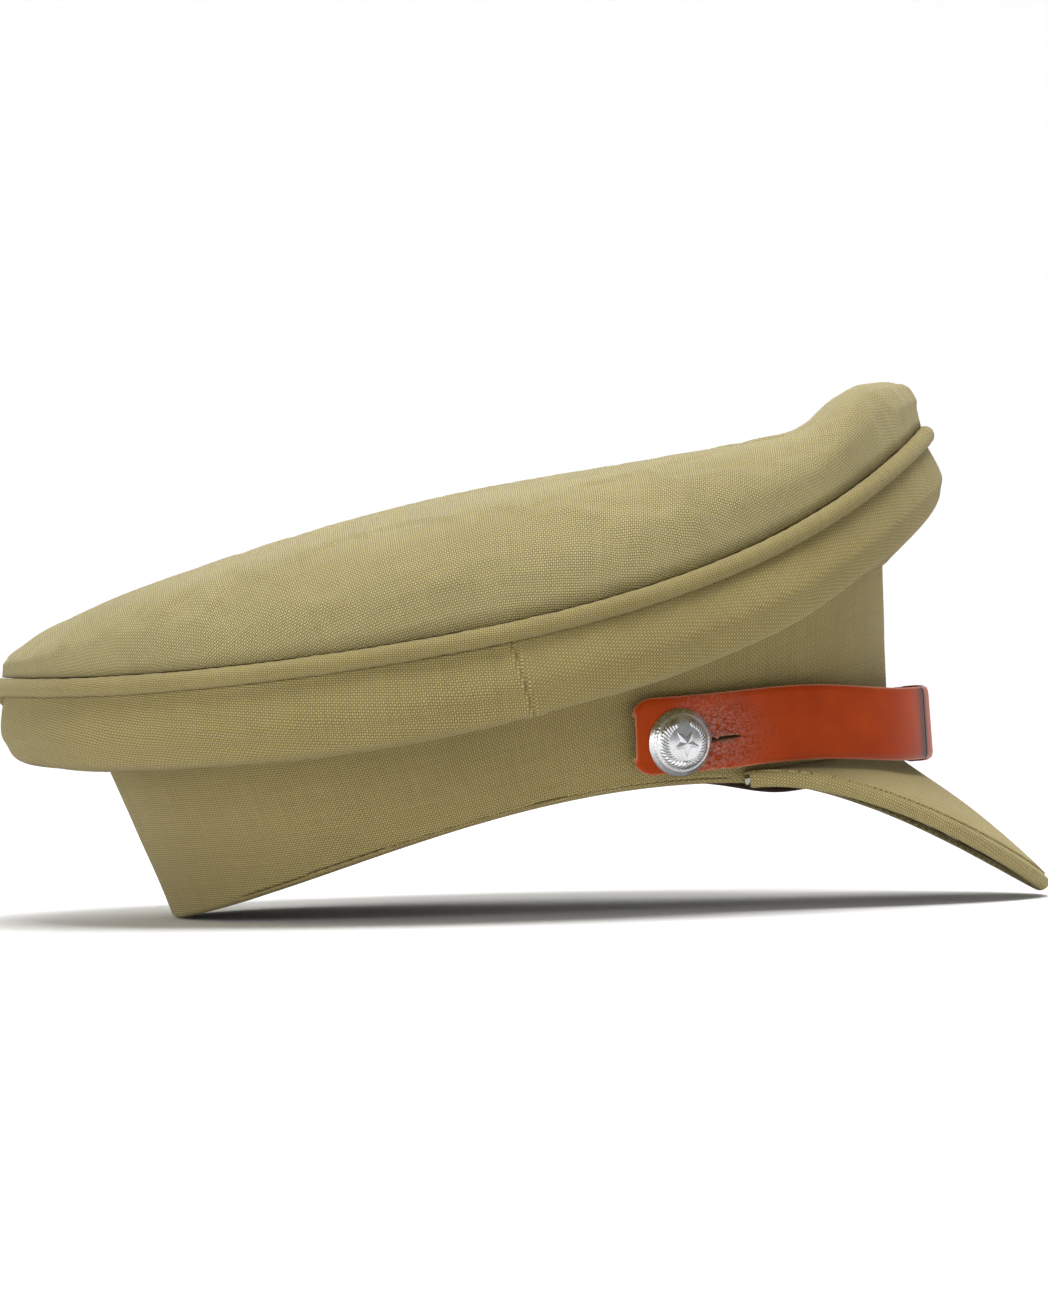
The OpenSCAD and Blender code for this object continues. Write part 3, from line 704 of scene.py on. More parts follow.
# Near-black material for the darkest part of the painted dark reflection on the strap's front turn.
STRAP_PAINTED_REFLECTION = soft("strap_painted_dark_reflection", (0.006, 0.001, 0.001), 1.6, 0.04, 0.95)
KEEPER_LEATHER = leather("keeper_leather", (0.22, 0.022, 0.006), (0.14, 0.010, 0.003),
                         0.42, 1.6, 0.06, 0.0)
STRAP_EDGE = cut_edge("strap_cut_edge", (0.52, 0.25, 0.15))
SWEAT_LEATHER = leather("sweat_leather", (0.030, 0.018, 0.010), (0.018, 0.010, 0.006),
                        0.42, 0.9, 0.16, 0.1)
CHROME = metal("button_chrome", (0.72, 0.73, 0.75), 0.2)
STEEL = metal("sprung_steel", (0.50, 0.51, 0.53), 0.32)
BRASS = metal("brass", (0.62, 0.47, 0.20), 0.3)
PIN_METAL = metal("pin_metal", (0.58, 0.50, 0.31), 0.35)


# ---- Crown ----

def turned(uv, degrees):
    """A flat map turned on the cloth, so that the yarns run at an angle to the piece."""
    c, s = cosd(degrees), sind(degrees)
    return np.stack([uv[..., 0] * c - uv[..., 1] * s, uv[..., 0] * s + uv[..., 1] * c], -1)


def ring_map(rows, columns, down, across):
    """Plain map of a small piece, in steps of down and across millimetres."""
    return pair(np.arange(rows)[:, None] * down, np.arange(columns)[None] * across, (rows, columns))


def closed_row(a):
    """A grid with its first row repeated at the end, for the map of a ring."""
    return np.concatenate([a, a[:1]], 0)


def dome_grid(turns, d, middle=0.985):
    """Grid of the dome from its edge inwards, dense over the rounded shoulder."""
    t = np.arange(turns)[:, None] * 360 / turns
    rounded = np.linspace(0, 1, 16) ** 1.35
    flat = np.linspace(0, 1, 27)[1:] ** 0.9 * middle
    edge = shoulder(t)
    p = np.concatenate([edge * rounded, edge + (1 - edge) * flat], 1)
    return t, p, dome(np.broadcast_to(t, p.shape), p, d)


def dome_object(name, grid, d):
    """Closes a dome grid over its middle and lays the cloth's map out flat from there."""
    n, m = grid.shape[:2]
    top = np.array([CROWN_CX, 0, plateau(CROWN_CX, 0) - d])
    out = run_length(np.concatenate([grid, np.broadcast_to(top, (n, 1, 3))], 1)[:, ::-1], 1)[:, :0:-1]
    plan = unit(grid[..., :2] - top[:2])
    uv = closed_row(plan * out[..., None])
    ii, kk = grid_corners(n, m, True, False, True)
    faces = ((ii % n) * m + kk % m).tolist()
    corners = uv[ii, kk].reshape(-1, 2)
    pole = n * m
    around = np.arange(n)
    fan = np.stack([around * m + m - 1, np.full(n, pole), (around + 1) % n * m + m - 1], 1)[:, ::-1]
    fan_uv = np.stack([uv[around, m - 1], np.zeros((n, 2)), uv[around + 1, m - 1]], 1)[:, ::-1]
    points = np.concatenate([grid.reshape(-1, 3), top[None]], 0)
    return new_mesh(name, points, faces + fan.tolist(), np.concatenate([corners, fan_uv.reshape(-1, 2)]))


def crown_top():
    """Padded top of the crown. The cloth is cut a little full, so it puckers at the piping."""
    t, p, grid = dome_grid(300, 0)
    loose = 30
    share = p / shoulder(t)
    free = (share[:, :loose] > 0.03) * (share[:, :loose] < 3.0)
    free[:, -2:] = False
    puffed = settled(grid[:, :loose], free, True, 0.022, -1.5, 0.8, 1)
    grid = np.concatenate([puffed, grid[:, loose:]], 1)
    fade = smooth((share - 0.1) / 0.9) * smooth((1 - p) * 4)
    pucker = np.exp(-((share - 0.22) / 0.22) ** 2)
    inward = grid_normals(grid, True) * -1
    ring = pair(cosd(t), sind(t), p.shape) * 130
    lift = 0.5 * fade * swell(grid, 42, 3) + 0.42 * pucker * swell(ring, 7, 5)
    grid = finer(finer(grid + inward * lift[..., None], 0, True), 1, False)
    obj = dome_object("crown_top_cloth", grid, 0)
    thicken(obj, CLOTH_T)
    return finish_piece(obj, CROWN_CLOTH_PAINTED_LIT, "cap", ["crown_top"])


def crown_padding():
    _, _, grid = dome_grid(120, CLOTH_T + GAP)
    obj = dome_object("crown_foam", grid, CLOTH_T + GAP)
    thicken(obj, PADDING_T)
    return finish_piece(obj, FOAM, "cap", ["crown_padding"])


def crown_lining():
    """Satin lining: inside the padding, in to the top of the band and down behind the sweatband."""
    d, foot_d, turns, fixed = 7.0, 4.3, 240, 6
    t, _, top = dome_grid(turns, d)
    wall = band(t, np.linspace(0.7, 1, fixed)[None, :-1], foot_d)
    joint = band(t, 1, foot_d) + np.array([0, 0, 2])
    side = mix(joint, dome(t, 0 * t, d), np.linspace(0, 1, 9)[None, :-1, None])
    grid = np.concatenate([wall, side, top], 1)
    free = np.ones(grid.shape[:2])
    free[:, :fixed] = 0
    free[:, -3:] = 0
    share = np.linspace(0, 1, grid.shape[1])
    inner = settled(grid, free, True, 0.012, 0.8, 1.6, -1)
    ripple = smooth(share * 8) * smooth((1 - share) * 3)
    ring = np.stack([cosd(t), sind(t)], -1) * 120
    ripple[:fixed] = 0
    grid = inner - grid_normals(inner, True) * (-0.45 * ripple * np.abs(swell(ring, 10, 21)))[..., None]
    obj = dome_object("lining_satin", grid, d)
    thicken(obj, 0.6)
    return finish_piece(obj, LINING, "cap", ["crown_lining"])


def quarter(name, start, end, turn):
    """Side panel of the crown, seamed at both ends, with the yarns turned by its cut."""
    seam = np.array([0.012, 0.08, 0.16, 0.26, 0.38, 0.52, 0.7, 0.95])
    plain = np.linspace(start + 1.3, end - 1.3, int((end - start) / 0.5))
    t = np.concatenate([start + seam, plain, end - seam[::-1]])
    lean = SEAM_LEAN * np.sign(sind(t)) * np.exp(-((from_front(t) - SIDE_SEAM) / 20) ** 2)
    sections = panel(t, 0, 11)
    low = np.linspace(1, 0, len(sections))[:, None, None]
    grid = np.moveaxis(mix(sections, panel(t - lean, 0, 11), low), 0, 1)
    down = run_length(grid[:, ::-1], 1)[:, ::-1]
    along = run_length(crown(t, 0, pipe_z(t))[:, None], 0)
    normal = grid_normals(grid, False)
    out = normal * np.sign((normal[..., :2] * grid[..., :2]).sum(-1, keepdims=True).mean())
    near = np.minimum(along, along[-1] - along)
    near = np.broadcast_to(near, down.shape)
    show = smooth(down / 3) * smooth(near / 4)
    ring = pair(cosd(t)[:, None], sind(t)[:, None], down.shape) * 130
    pucker = np.exp(-((down - 4) / 4) ** 2)
    lift = 0.30 * show * swell(grid, 26, 7) + 0.22 * pucker * smooth(near / 4) * swell(ring, 6, 9)
    lift = lift - 1.3 * np.maximum(0, 1 - near / 0.9) ** 1.5
    lift = lift + 0.12 * np.exp(-((near - 2.2) / 1.4) ** 2) * smooth(down / 4)
    grid = grid + out * lift[..., None]
    uv = turned(pair(along, down, down.shape), turn)
    seam_line = np.exp(-(near / 0.5) ** 2) * smooth(down / 1.5)
    obj = grid_object(name + "_cloth", grid, uv, marks={"seam": seam_line})
    thicken(obj, CLOTH_T, 1.0 if facing(normal, grid) < 0 else -1.0)
    return finish_piece(obj, SIDE_CLOTH_PAINTED_SHADE, "cap", [name])


def piping_middle(t):
    """Middle of the piping. At the back both ends dip into the seam to be joined."""
    far = np.abs((t % 360) - 180)
    dip = 4.2 * (1 - smooth(far / 3.6))
    return crown(t, -0.8 + 1.1 * (1 - smooth(far / 2.4)), pipe_z(t) - dip)


def crown_piping():
    """Cloth folded round the cord, with its two edges caught in the seam behind."""
    t = np.linspace(-179.9, 179.9, 900)
    a = np.linspace(-158, 158, 21)
    mid = piping_middle(t)[:, None]
    out = unit(crown(t, -1, 0.0) - crown(t, 0, 0.0))[:, None]
    up = np.array([0, 0, 1.0])
    lean = 0.06 * swell(np.stack([cosd(t), sind(t)], -1) * 130, 5, 11)[:, None]
    r = PIPING_D / 2 + lean + 0.05 * np.cos(np.radians(t * 190))[:, None]
    tuck = 1.0 - 0.28 * smooth((2.5 - np.abs(np.abs(t) - 180)) / 2.5)[:, None]
    grid = mid + out * (r * cosd(a))[..., None] + up * (r * tuck * sind(a))[..., None]
    along = run_length(mid, 0)
    uv = turned(pair(along, np.radians(a) * PIPING_D / 2, grid.shape[:2]), 8)
    obj = grid_object("piping_cloth", grid, uv, flip=True)
    thicken(obj, 0.9)
    return finish_piece(obj, PIPING_CLOTH, "cap", ["crown_piping"])


# ---- Band and sweatband ----

def band_cover():
    """Cloth over the band, turned under the stiffener at the rim and up inside it."""
    turns = 720
    t = np.arange(turns)[:, None] * 360 / turns
    tall = band_top_z(t) - rim_z(t)
    rise = np.concatenate([np.linspace(1, 0.05, 34), [0.04, 0.03]])[None]
    face = band(t, np.broadcast_to(rise, (turns, rise.shape[1])), 0)
    radius, inner = 1.2, 3.4
    a = np.linspace(0, 90, 6)
    under_d = np.concatenate([radius - radius * cosd(a), inner - radius + radius * sind(a[1:]),
                              [inner] * 4])
    under_z = np.concatenate([radius - radius * sind(a), radius - radius * cosd(a[1:]), [3, 5, 7, 9]])
    under = band(t, under_z[None] / tall, under_d[None])
    grid = np.concatenate([face, under], 1)
    h = np.broadcast_to(np.concatenate([rise, np.zeros((1, under_d.size))], 1), grid.shape[:2])
    normal = grid_normals(grid, True)
    out = normal * np.sign(facing(normal[:, :20], grid[:, :20]))
    calm = 1 - 0.7 * np.exp(-((from_front(t) - BUTTON_T) / 9) ** 2)
    show = smooth(h * 5) * (0.35 + 0.65 * smooth(1.3 - h)) * calm
    lift = 0.34 * show * swell(grid, 30, 13) + 0.12 * show * swell(grid, 11, 15)
    back = np.abs(t - 180) * RIM_A * math.pi / 180
    lift = lift - 0.6 * np.maximum(0, 1 - back / 1.1) ** 2 * smooth(h * 20)
    grid = grid + out * lift[..., None]
    along = run_length(closed_row(band(t, 0.5, 0)), 0)
    uv = pair(along, closed_row(-run_length(grid, 1)), (turns + 1, grid.shape[1]))
    obj = grid_object("band_cloth", grid, uv, ring=True)
    thicken(obj, 0.45, 1.0 if facing(normal[:, :20], grid[:, :20]) < 0 else -1.0)
    return finish_piece(obj, BAND_CLOTH, "cap", ["band_cover"])


def sweatband_reach(t):
    """How far the sweatband shows below the rim: a little at each end of the peak."""
    return 3.0 * np.exp(-((from_front(t) - 47) / 11) ** 2)


def sweatband():
    """Leather band against the head, sewn to the rim, with its upper edge free."""
    t = np.linspace(-179.6, 179.6, 700)[:, None]
    tall = band_top_z(t) - rim_z(t)
    top = np.minimum(38, 0.86 * tall)
    drop = sweatband_reach(t)
    wall = [mix(4, top, f) for f in np.linspace(0, 1, 22)[1:]]
    z = np.concatenate([0.3 - drop, 1.6 - 0.6 * drop, 4 + 0 * t, *wall], 1)
    d = np.broadcast_to(np.array([3.7, 4.6] + [SWEATBAND_D] * 22), z.shape)
    grid = band(t, z / tall, d)
    normal = grid_normals(grid, False)
    show = smooth((z - 6) / 8)
    wavy = 0.5 * show * swell(grid, 34, 17) + 0.5 * smooth((z - top + 9) / 9) * swell(grid, 22, 19)
    inward = np.clip(wavy, -0.5, 0.5) * -1
    grid = grid + normal * inward[..., None] * np.sign(facing(normal, grid)) * 0.6
    uv = pair(run_length(band(t, 0.3, 5), 0), z, z.shape)
    obj = grid_object("sweatband_leather", grid, uv)
    thicken(obj, SWEATBAND_T, -1.0 if facing(normal, grid) > 0 else 1.0)
    bevel(obj, 0.35)
    return finish_piece(obj, SWEAT_LEATHER, "cap", ["sweatband"])


# ---- Peak ----

def peak_grid(reach, d):
    u = np.linspace(-0.985, 0.985, 180)[:, None]
    v = np.linspace(0, reach, 46)[None]
    u, v = np.broadcast_arrays(u, v)
    return u, v, peak(u, v, d * np.ones(u.shape))


def peak_cover():
    u, v, grid = peak_grid(0.975, 0.0)
    lift = 0.22 * smooth(v * 8) * smooth((0.97 - v) * 9) * swell(grid, 20, 23)
    grid = grid - peak_normal(u, v) * lift[..., None]
    slope = math.hypot(1, PEAK_DROP / (PEAK_REACH - RIM_A))
    uv = np.stack([grid[..., 0] * mix(1, slope, 0.7), grid[..., 1]], -1)
    obj = grid_object("peak_cloth", grid, uv, flip=True)
    thicken(obj, 0.8)
    return finish_piece(obj, PEAK_CLOTH, "cap", ["peak_cover"])


def peak_lining():
    u, v, grid = peak_grid(0.975, PEAK_T - 0.6)
    grid = grid + peak_normal(u, v) * (0.1 * swell(grid, 14, 25))[..., None]
    uv = np.stack([grid[..., 0] * 1.3, grid[..., 1]], -1)
    obj = grid_object("peak_underside_cloth", grid, uv, flip=True)
    thicken(obj, 0.6)
    return finish_piece(obj, UNDERSIDE, "cap", ["peak_lining"])


def peak_edge_frame(u):
    """Outer edge of the peak: its middle, the way out of it and the way up."""
    mid = mix(peak(u, 1 + 0 * u, 0 * u), peak(u, 1 + 0 * u, PEAK_T + 0 * u), 0.5)
    across = peak_mid(u + 0.004, 1 + 0 * u) - peak_mid(u - 0.004, 1 + 0 * u)
    up = -peak_normal(u, 1 + 0 * u)
    out = unit(np.cross(unit(across), up))
    away = mid - np.array([PEAK_CORNER_X, 0, 0])
    out = out * np.sign((out[..., :2] * away[..., :2]).sum(-1, keepdims=True))
    return mid, out, up


def peak_binding():
    """Strip of cloth wrapped round the edge, with a fold line where it meets the cover."""
    u = np.linspace(-0.992, 0.992, 260)
    mid, out, up = peak_edge_frame(u)
    half = PEAK_T / 2 + 0.32
    lap = 2.5
    a = np.linspace(90, -90, 15)
    flange = np.linspace(-lap, 0, 5)[:-1]
    x = np.concatenate([flange, 1.65 * cosd(a) ** 0.85, flange[::-1]])
    lift = np.array([half - 0.5, half - 0.12, half, half])
    y = np.concatenate([lift, half * sind(a), -lift[::-1]])
    thin = np.minimum(1, (1 - np.abs(u)) / 0.012)[:, None]
    wide, high = x[None] * mix(0.4, 1, thin), y[None] * mix(0.75, 1, thin)
    grid = mid[:, None] + out[:, None] * wide[..., None] + up[:, None] * high[..., None]
    ripple = 0.07 * swell(grid, 6, 27)
    grid = grid + out[:, None] * ripple[..., None]
    girth = run_length(np.stack([x, y], -1)[:, None], 0).ravel()
    along = run_length(mid[:, None], 0)
    uv = turned(pair(along, girth, grid.shape[:2]), 45)
    obj = grid_object("peak_edge_binding", grid, uv)
    thicken(obj, 0.4)
    return finish_piece(obj, PEAK_CLOTH, "cap", ["peak_binding"])


def stitches(name, path, out, pitch, length, radius, material):
    """Row of thread stitches that follows path, a curve of points, lying on the side out points to."""
    far = run_length(path[:, None], 0).ravel()
    places = np.arange(pitch, far[-1] - pitch, pitch)
    at = np.stack([np.interp(places, far, path[:, i]) for i in range(3)], -1)
    nearby = np.stack([np.interp(places + 0.3, far, path[:, i]) for i in range(3)], -1)
    off = unit(np.stack([np.interp(places, far, out[:, i]) for i in range(3)], -1))
    way = unit(nearby - at)
    side = np.cross(off, way)
    rings, sides = 7, 8
    f = np.linspace(-1, 1, rings)
    a = np.arange(sides) * 360 / sides
    bulge = np.sqrt(np.maximum(0.05, 1 - f ** 4)) * radius
    sink = -radius * 0.9 * np.abs(f) ** 3
    points = (at[:, None, None] + way[:, None, None] * (f * length / 2)[None, :, None, None]
              + side[:, None, None] * (bulge[:, None] * cosd(a))[None, ..., None]
              + off[:, None, None] * (bulge[:, None] * sind(a) + sink[:, None])[None, ..., None])
    faces = []
    for n in range(len(places)):
        base = n * rings * sides
        for i in range(rings - 1):
            for k in range(sides):
                j = (k + 1) % sides
                faces.append([base + i * sides + k, base + i * sides + j,
                              base + (i + 1) * sides + j, base + (i + 1) * sides + k])
        faces.append([base + k for k in range(sides)][::-1])
        faces.append([base + (rings - 1) * sides + k for k in range(sides)])
    obj = new_mesh(name, points.reshape(-1, 3), faces)
    return finish_piece(obj, material, "cap")


def peak_stitching():
    u = np.linspace(-0.965, 0.965, 400)
    mid, out, up = peak_edge_frame(u)
    half = PEAK_T / 2 + 0.3
    inset = 1.75
    for name, away in (("peak_edge_stitching", up), ("peak_edge_stitching_under", -up)):
        path = mid + away * (half + 0.06) - out * inset
        stitches(name, path, away, 2.6, 1.9, 0.2, THREAD)


def sweatband_stitching():
    t = np.linspace(-178, 178, 1400)
    tall = band_top_z(t) - rim_z(t)
    path = band(t, 3.2 / tall, SWEATBAND_D + SWEATBAND_T)
    inward = -unit(xyz(cosd(t), sind(t), 0))
    stitches("sweatband_stitching", path, inward, 3.2, 2.3, 0.24, DARK_THREAD)


# ---- Chin strap ----

def strap(name, side, layer):
    """One strap piece: rounded ends, cut edges, and a slit and creases where it is buttoned."""
    end, tip = HOLE_AT + STRAP_TAIL, math.radians(STRAP_LAP) * STRAP_R
    near = np.arange(0, 52, 0.35)
    rest = np.linspace(52, end + tip - 5, 110)
    last = end + tip - STRAP_CORNER * (1 - sind(np.linspace(0, 90, 10)))
    from_end = np.concatenate([near, rest, last])
    e = np.minimum(from_end, end + tip - from_end)
    s = end - from_end
    half = strap_half(s, e)
    ahead = HOLE_AT - s[:, None]
    slit_w, lip = -STRAP_LIFT, 0.08
    share = np.linspace(0, 1, 31)[None]
    w = np.concatenate([mix(-half[:, None], slit_w - lip, share),
                        mix(slit_w + lip, half[:, None], share)], 1)
    offset = w - slit_w
    open_w = 0.28 * np.sqrt(np.clip(1 - (ahead / SLIT_LENGTH) ** 8, 0, 1)) * (ahead > 0)
    fan = np.exp(-(np.maximum(0, ahead - 6) / 13) ** 2) * smooth((ahead + 4) / 8)
    spread = np.exp(-(offset / 9.5) ** 2)
    crinkle = np.clip(fan * spread * 1.15, 0, 1)
    flat = np.stack(np.broadcast_arrays(from_end[:, None], w), -1)
    wrinkle = 0.26 * (1 - np.abs(swell(flat, 1.2, 31, 30))) + 0.14 * swell(flat, 2.6, 33, 24)
    lips = (0.42 * np.exp(-np.abs(offset) / 1.1) * smooth((SLIT_LENGTH - ahead) / 4)
            * smooth((ahead + 2) / 4))
    hollow = -0.30 * np.exp(-np.abs(offset) / 0.5) * np.exp(-((ahead - SLIT_LENGTH) / 3) ** 2)
    rim = np.minimum(half[:, None] - np.abs(w), np.broadcast_to(e[:, None], w.shape))
    roll = -0.35 * np.maximum(0, 1 - np.maximum(rim, 0) / 1.2) ** 2
    lift = crinkle * wrinkle + lips + hollow + roll + 0.12 * swell(flat, 24, 35)
    push = np.sign(offset + 1e-6) * open_w * np.exp(-np.abs(offset) / 2.5)
    outward = np.full(w.shape, STRAP_T / 2) + lift
    along = np.broadcast_to(s[:, None], w.shape) * side
    grid = from_sloping(strap_point(along, w + push, outward, layer))
    cut = (ahead[:-1] > 0) & (ahead[:-1] < SLIT_LENGTH)
    middle = 0.5 * (w[:-1, :-1] + w[:-1, 1:])
    keep = (np.abs(middle - slit_w) > lip / 2) | ~cut
    keep &= np.hypot(0.5 * (ahead[:-1] + ahead[1:]), middle - slit_w) > SHANK_HOLE
    far = np.abs(s)
    # Mark 'dark': a painted dark reflection on the front turn of the near strap only, fading in and out
    # along it.
    dark = smooth((far - PAINTED_REFLECTION_FROM) / 4) * smooth((PAINTED_REFLECTION_TO - far) / 9)
    dark = np.broadcast_to((dark * (np.sign(s) > 0))[:, None], w.shape) * 0.97
    edge = np.clip(1 - rim / 0.35, 0, 1) * 0.85
    marks = {"crinkle": crinkle, "dark": dark, "edge": edge}
    obj = grid_object(name + "_leather", grid, flat, flip=side > 0, marks=marks, keep=keep)
    for material in (STRAP_LEATHER, STRAP_EDGE, STRAP_PAINTED_REFLECTION):
        obj.data.materials.append(material)
    value = np.zeros(len(obj.data.vertices), np.float32)
    obj.data.attributes["dark"].data.foreach_get("value", value)
    # Faces wholly inside the darkest part of the painted dark reflection take the near-black material.
    for face in obj.data.polygons:
        face.material_index = 2 if min(value[i] for i in face.vertices) > PAINTED_REFLECTION_FACE else 0
    thicken(obj, STRAP_T, rim_material=1)
    bevel(obj, 0.22)
    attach(obj, "chin_strap")
    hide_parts(name)
    return obj


def keeper(name, side):
    """Leather loop round both strap pieces, with rounded corners and soft edges."""
    clear_t, clear_w, wall = STRAP_T + GAP / 2 + 0.3, STRAP_W / 2 + 0.3, 1.1
    a = np.linspace(-KEEPER_HALF, KEEPER_HALF, 25) + side * KEEPER_AT
    edge = np.minimum(a - a[0], a[-1] - a) / 180 * math.pi * STRAP_R
    plump = -0.45 * np.maximum(0, 1 - edge / 0.8) ** 2
    quarter_turn = np.linspace(0, 90, 7)
    rings = []
    for grow in (wall, 0.0):
        radius = 0.5 + grow
        half_t, half_w = clear_t + grow, clear_w + grow
        rings.append(np.array([
            (sx * (half_t - radius) + radius * cosd(q + turn),
             sy * (half_w - radius) + radius * sind(q + turn))
            for sx, sy, turn in ((1, 1, 0), (-1, 1, 90), (-1, -1, 180), (1, -1, 270))
            for q in quarter_turn]))
    outer, inner = rings
    section = outer + unit(outer) * plump[:, None, None]
    walls = []
    for loop in (section, np.broadcast_to(inner, section.shape)):
        r = STRAP_R + loop[..., 0]
        walls.append(xyz(r * cosd(a)[:, None], r * sind(a)[:, None], loop[..., 1]))
    grid = from_sloping(np.concatenate([walls[0], walls[1][::-1]], 0))
    n, m = grid.shape[:2]
    uv = ring_map(n + 1, m + 1, 0.3, 1)
    obj = grid_object(name + "_leather", grid, uv, ring=True, loop=True, flip=True)
    modifier(obj, "SUBSURF", levels=1, render_levels=1)
    return finish_piece(obj, KEEPER_LEATHER, name, [name])


# ---- Buttons ----

def emblem(r, a):
    """Relief of the button: a faceted star in a wreath, inside a rope border."""
    fold = np.abs((a + 90 + 36) % 72 - 36)
    tip, notch = 4.1, 1.75
    x1, y1 = notch * cosd(36), notch * sind(36)
    reach = y1 * tip / (y1 * cosd(fold) - (x1 - tip) * sind(fold))
    star = 0.7 * np.clip(1 - r / reach, 0, 1) ** 0.8
    side = np.abs((a + 90) % 360 - 180)
    leaf_turn = side / 9.0
    slant = (r - 5.6) * 0.55
    leaf = np.abs(np.sin(np.pi * (leaf_turn + slant)))
    wreath = 0.42 * np.clip(1 - ((r - 5.9) / 1.15) ** 2, 0, 1) * leaf ** 0.7 * smooth((side - 14) / 8)
    bow = 0.4 * np.exp(-((side - 180) / 12) ** 2) * np.clip(1 - ((r - 5.9) / 1.2) ** 2, 0, 1)
    twist = 0.7 + 0.3 * np.cos(np.radians(a * 48) + r * 4)
    rope = 0.14 * np.clip(1 - ((r - 7.9) / 0.4) ** 2, 0, 1) * twist
    return star + wreath + bow + rope


def button_dome(name, side):
    sphere_r = (BUTTON_R ** 2 + BUTTON_RISE ** 2) / (2 * BUTTON_RISE)
    top = BACK_LOW + BUTTON_SKIRT + BUTTON_RISE
    turns = 360
    a = np.arange(turns)[:, None] * 360 / turns
    r = np.linspace(0.02, BUTTON_R - 0.35, 110)[None]
    z = top - sphere_r + np.sqrt(sphere_r ** 2 - r ** 2)
    z = z + emblem(np.broadcast_to(r, (turns, 110)), np.broadcast_to(a, (turns, 110)))
    rr = np.broadcast_to(r, z.shape)
    rim_a = np.linspace(60, -90, 9)
    rim_r = BUTTON_R - 0.35 + 0.35 * cosd(rim_a)
    rim_height = BACK_LOW + BUTTON_SKIRT - 0.15 + 0.35 * sind(rim_a)
    skirt_r = np.array([BUTTON_R - 0.4, BUTTON_R - 0.4, BUTTON_R - 0.9])
    skirt_z = np.array([BACK_LOW + 0.4, BACK_LOW + 0.05, BACK_LOW])
    tail_r = np.concatenate([rim_r, skirt_r])[None]
    tail_z = np.concatenate([rim_height, skirt_z])[None]
    rr = np.concatenate([rr, np.broadcast_to(tail_r, (turns, tail_r.size))], 1)
    z = np.concatenate([z, np.broadcast_to(tail_z, (turns, tail_z.size))], 1)
    grid = at_button(xyz(rr * cosd(a), rr * sind(a), z), side)
    n, m = grid.shape[:2]
    uv = ring_map(n + 1, m, 0.2, 0.1)
    obj = grid_object(name + "_chrome", grid, uv, ring=True, flip=side > 0)
    return finish_piece(obj, CHROME, name.replace("_dome", ""), [name])


# ---- Put the cap together ----

crown_top()
crown_padding()
crown_lining()
quarter("quarter_front_left", 0, SIDE_SEAM, -33)
quarter("quarter_rear_left", SIDE_SEAM, 180, 8)
quarter("quarter_rear_right", 180, 360 - SIDE_SEAM, -8)
quarter("quarter_front_right", 360 - SIDE_SEAM, 360, 33)
crown_piping()
band_cover()
sweatband()
peak_cover()
peak_lining()
peak_binding()
peak_stitching()
sweatband_stitching()
strap("right_strap", -1, 1)
strap("left_strap", 1, -1)
keeper("right_keeper", -1)
keeper("left_keeper", 1)
button_dome("right_button_dome", -1)
button_dome("left_button_dome", 1)

CAD_LOOKS = {
    "piping_cord": CORD, "crown_wire": STEEL, "wire_ferrule": BRASS, "front_stay": BOARD,
    "band_stiffener": BOARD, "peak_core": BOARD,
    **{f"{side}_button_{part}": STEEL for part in ("back", "shank") for side in ("right", "left")},
    **{f"{side}_split_pin": PIN_METAL for side in ("right", "left")},
}
for node_name, material in CAD_LOOKS.items():
    node = frame["nodes"][node_name]
    for place in node.material_slots:
        place.link = "OBJECT"
        place.material = material


# ---- Floor, light and camera ----

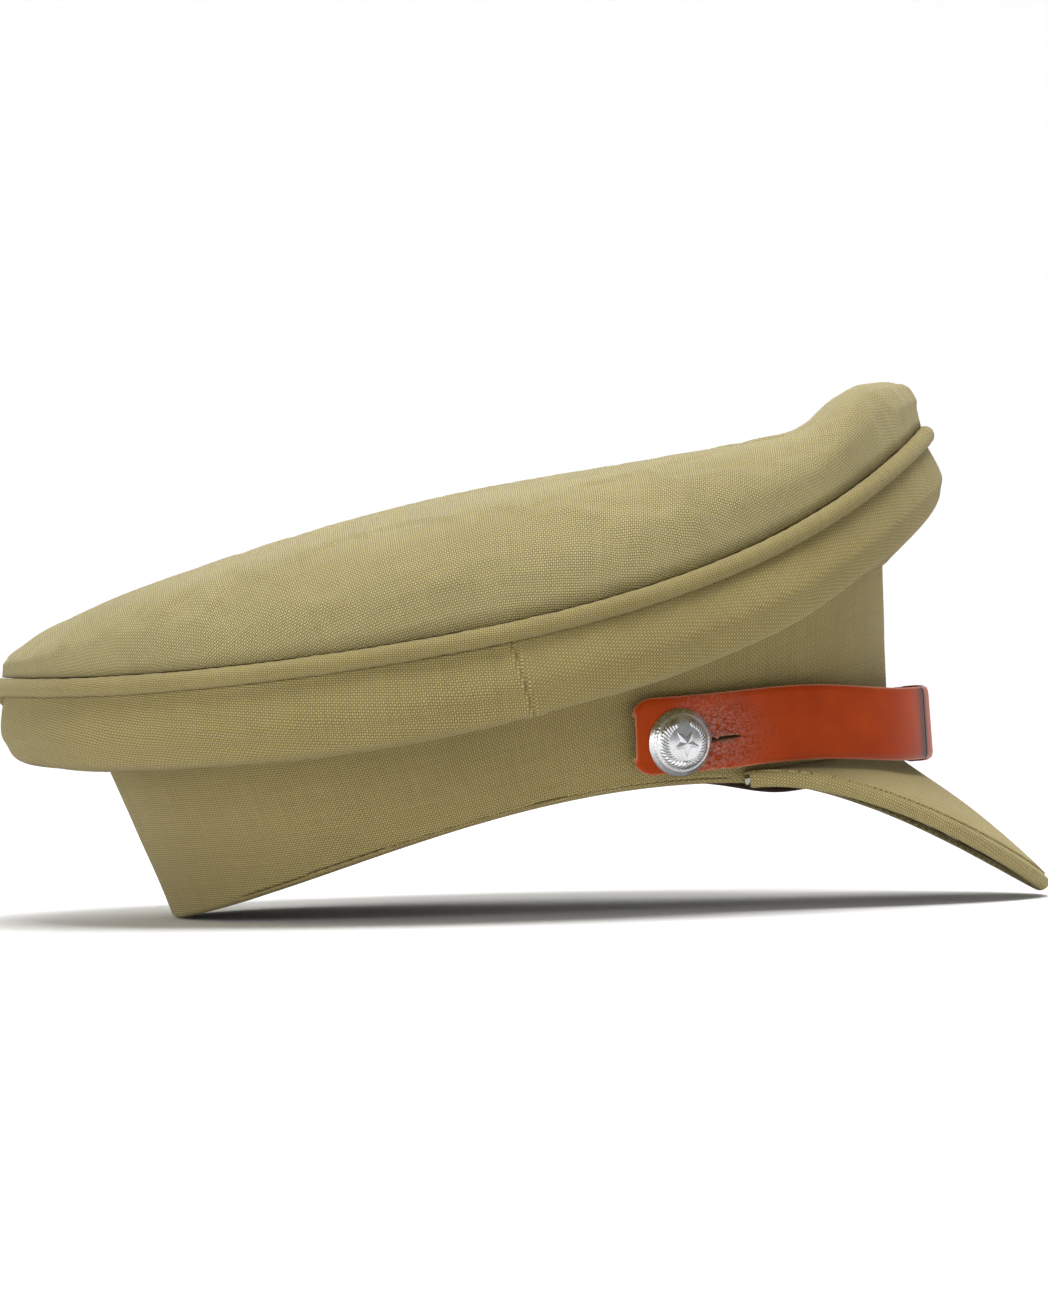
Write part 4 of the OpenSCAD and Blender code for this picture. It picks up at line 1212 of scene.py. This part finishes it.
def studio():
    depth, height, bend = 2.6, 3.0, 1.2
    run = [(-4.0, 0.0), (0.0, 0.0)]
    run += [(depth - bend + bend * math.sin(a), bend - bend * math.cos(a))
            for a in np.linspace(0, math.pi / 2, 16)]
    run += [(depth, height)]
    points = [(x, y, z - 0.0004) for y, z in run for x in (-4.0, 4.0)]
    faces = [[2 * i, 2 * i + 1, 2 * i + 3, 2 * i + 2] for i in range(len(run) - 1)]
    mesh = bpy.data.meshes.new("floor")
    mesh.from_pydata(points, [], faces)
    mesh.shade_smooth()
    floor = bpy.data.objects.new("floor", mesh)
    bpy.context.scene.collection.objects.link(floor)
    s = Shader("pale_floor")
    place = s.node("TexCoord").outputs["Object"]
    back = s.ramp(s.node("SeparateXYZ", place).outputs[1], 0.5, 1.6, 0.0, 0.45)
    floor.data.materials.append(s.set(Base_Color=(0.80, 0.80, 0.80), Roughness=0.9,
                                      Emission_Color=(1.0, 1.0, 1.0), Emission_Strength=back))


def area_light(name, place, size, power, colour=(1, 1, 1)):
    data = bpy.data.lights.new(name, "AREA")
    data.shape, data.size, data.size_y = "RECTANGLE", *size
    data.energy, data.color = power, colour
    light = bpy.data.objects.new(name, data)
    light.location = place
    light.rotation_euler = (Vector((0, 0, 0.07)) - Vector(place)).to_track_quat("-Z", "Y").to_euler()
    bpy.context.scene.collection.objects.link(light)


def world():
    made = bpy.data.worlds.new("studio")
    made.use_nodes = True
    sky = made.node_tree.nodes["Background"]
    sky.inputs["Color"].default_value = (1, 1, 1, 1)
    sky.inputs["Strength"].default_value = 0.32
    bpy.context.scene.world = made


def camera():
    aim = Vector((0.0018, 0, 0.0733))
    distance, elevation, roll = 1.4, math.radians(-1.0), math.radians(1.44)
    data = bpy.data.cameras.new("camera")
    data.sensor_fit = "AUTO"
    data.sensor_width = 36
    data.lens = 135.7
    made = bpy.data.objects.new("camera", data)
    made.location = aim + Vector((0, -math.cos(elevation), math.sin(elevation))) * distance
    look = (aim - made.location).to_track_quat("-Z", "Y")
    made.rotation_mode = "QUATERNION"
    made.rotation_quaternion = look @ Quaternion((0, 0, 1), -roll)
    bpy.context.scene.collection.objects.link(made)
    bpy.context.scene.camera = made


studio()
world()
area_light("key", (0.15, -0.30, 1.45), (1.1, 0.9), 26)
area_light("fill", (-1.1, -1.4, 0.45), (0.9, 0.8), 12)
area_light("back", (0.2, 1.1, 0.9), (1.6, 0.8), 10)
camera()
bpy.context.scene.view_settings.view_transform = "Standard"
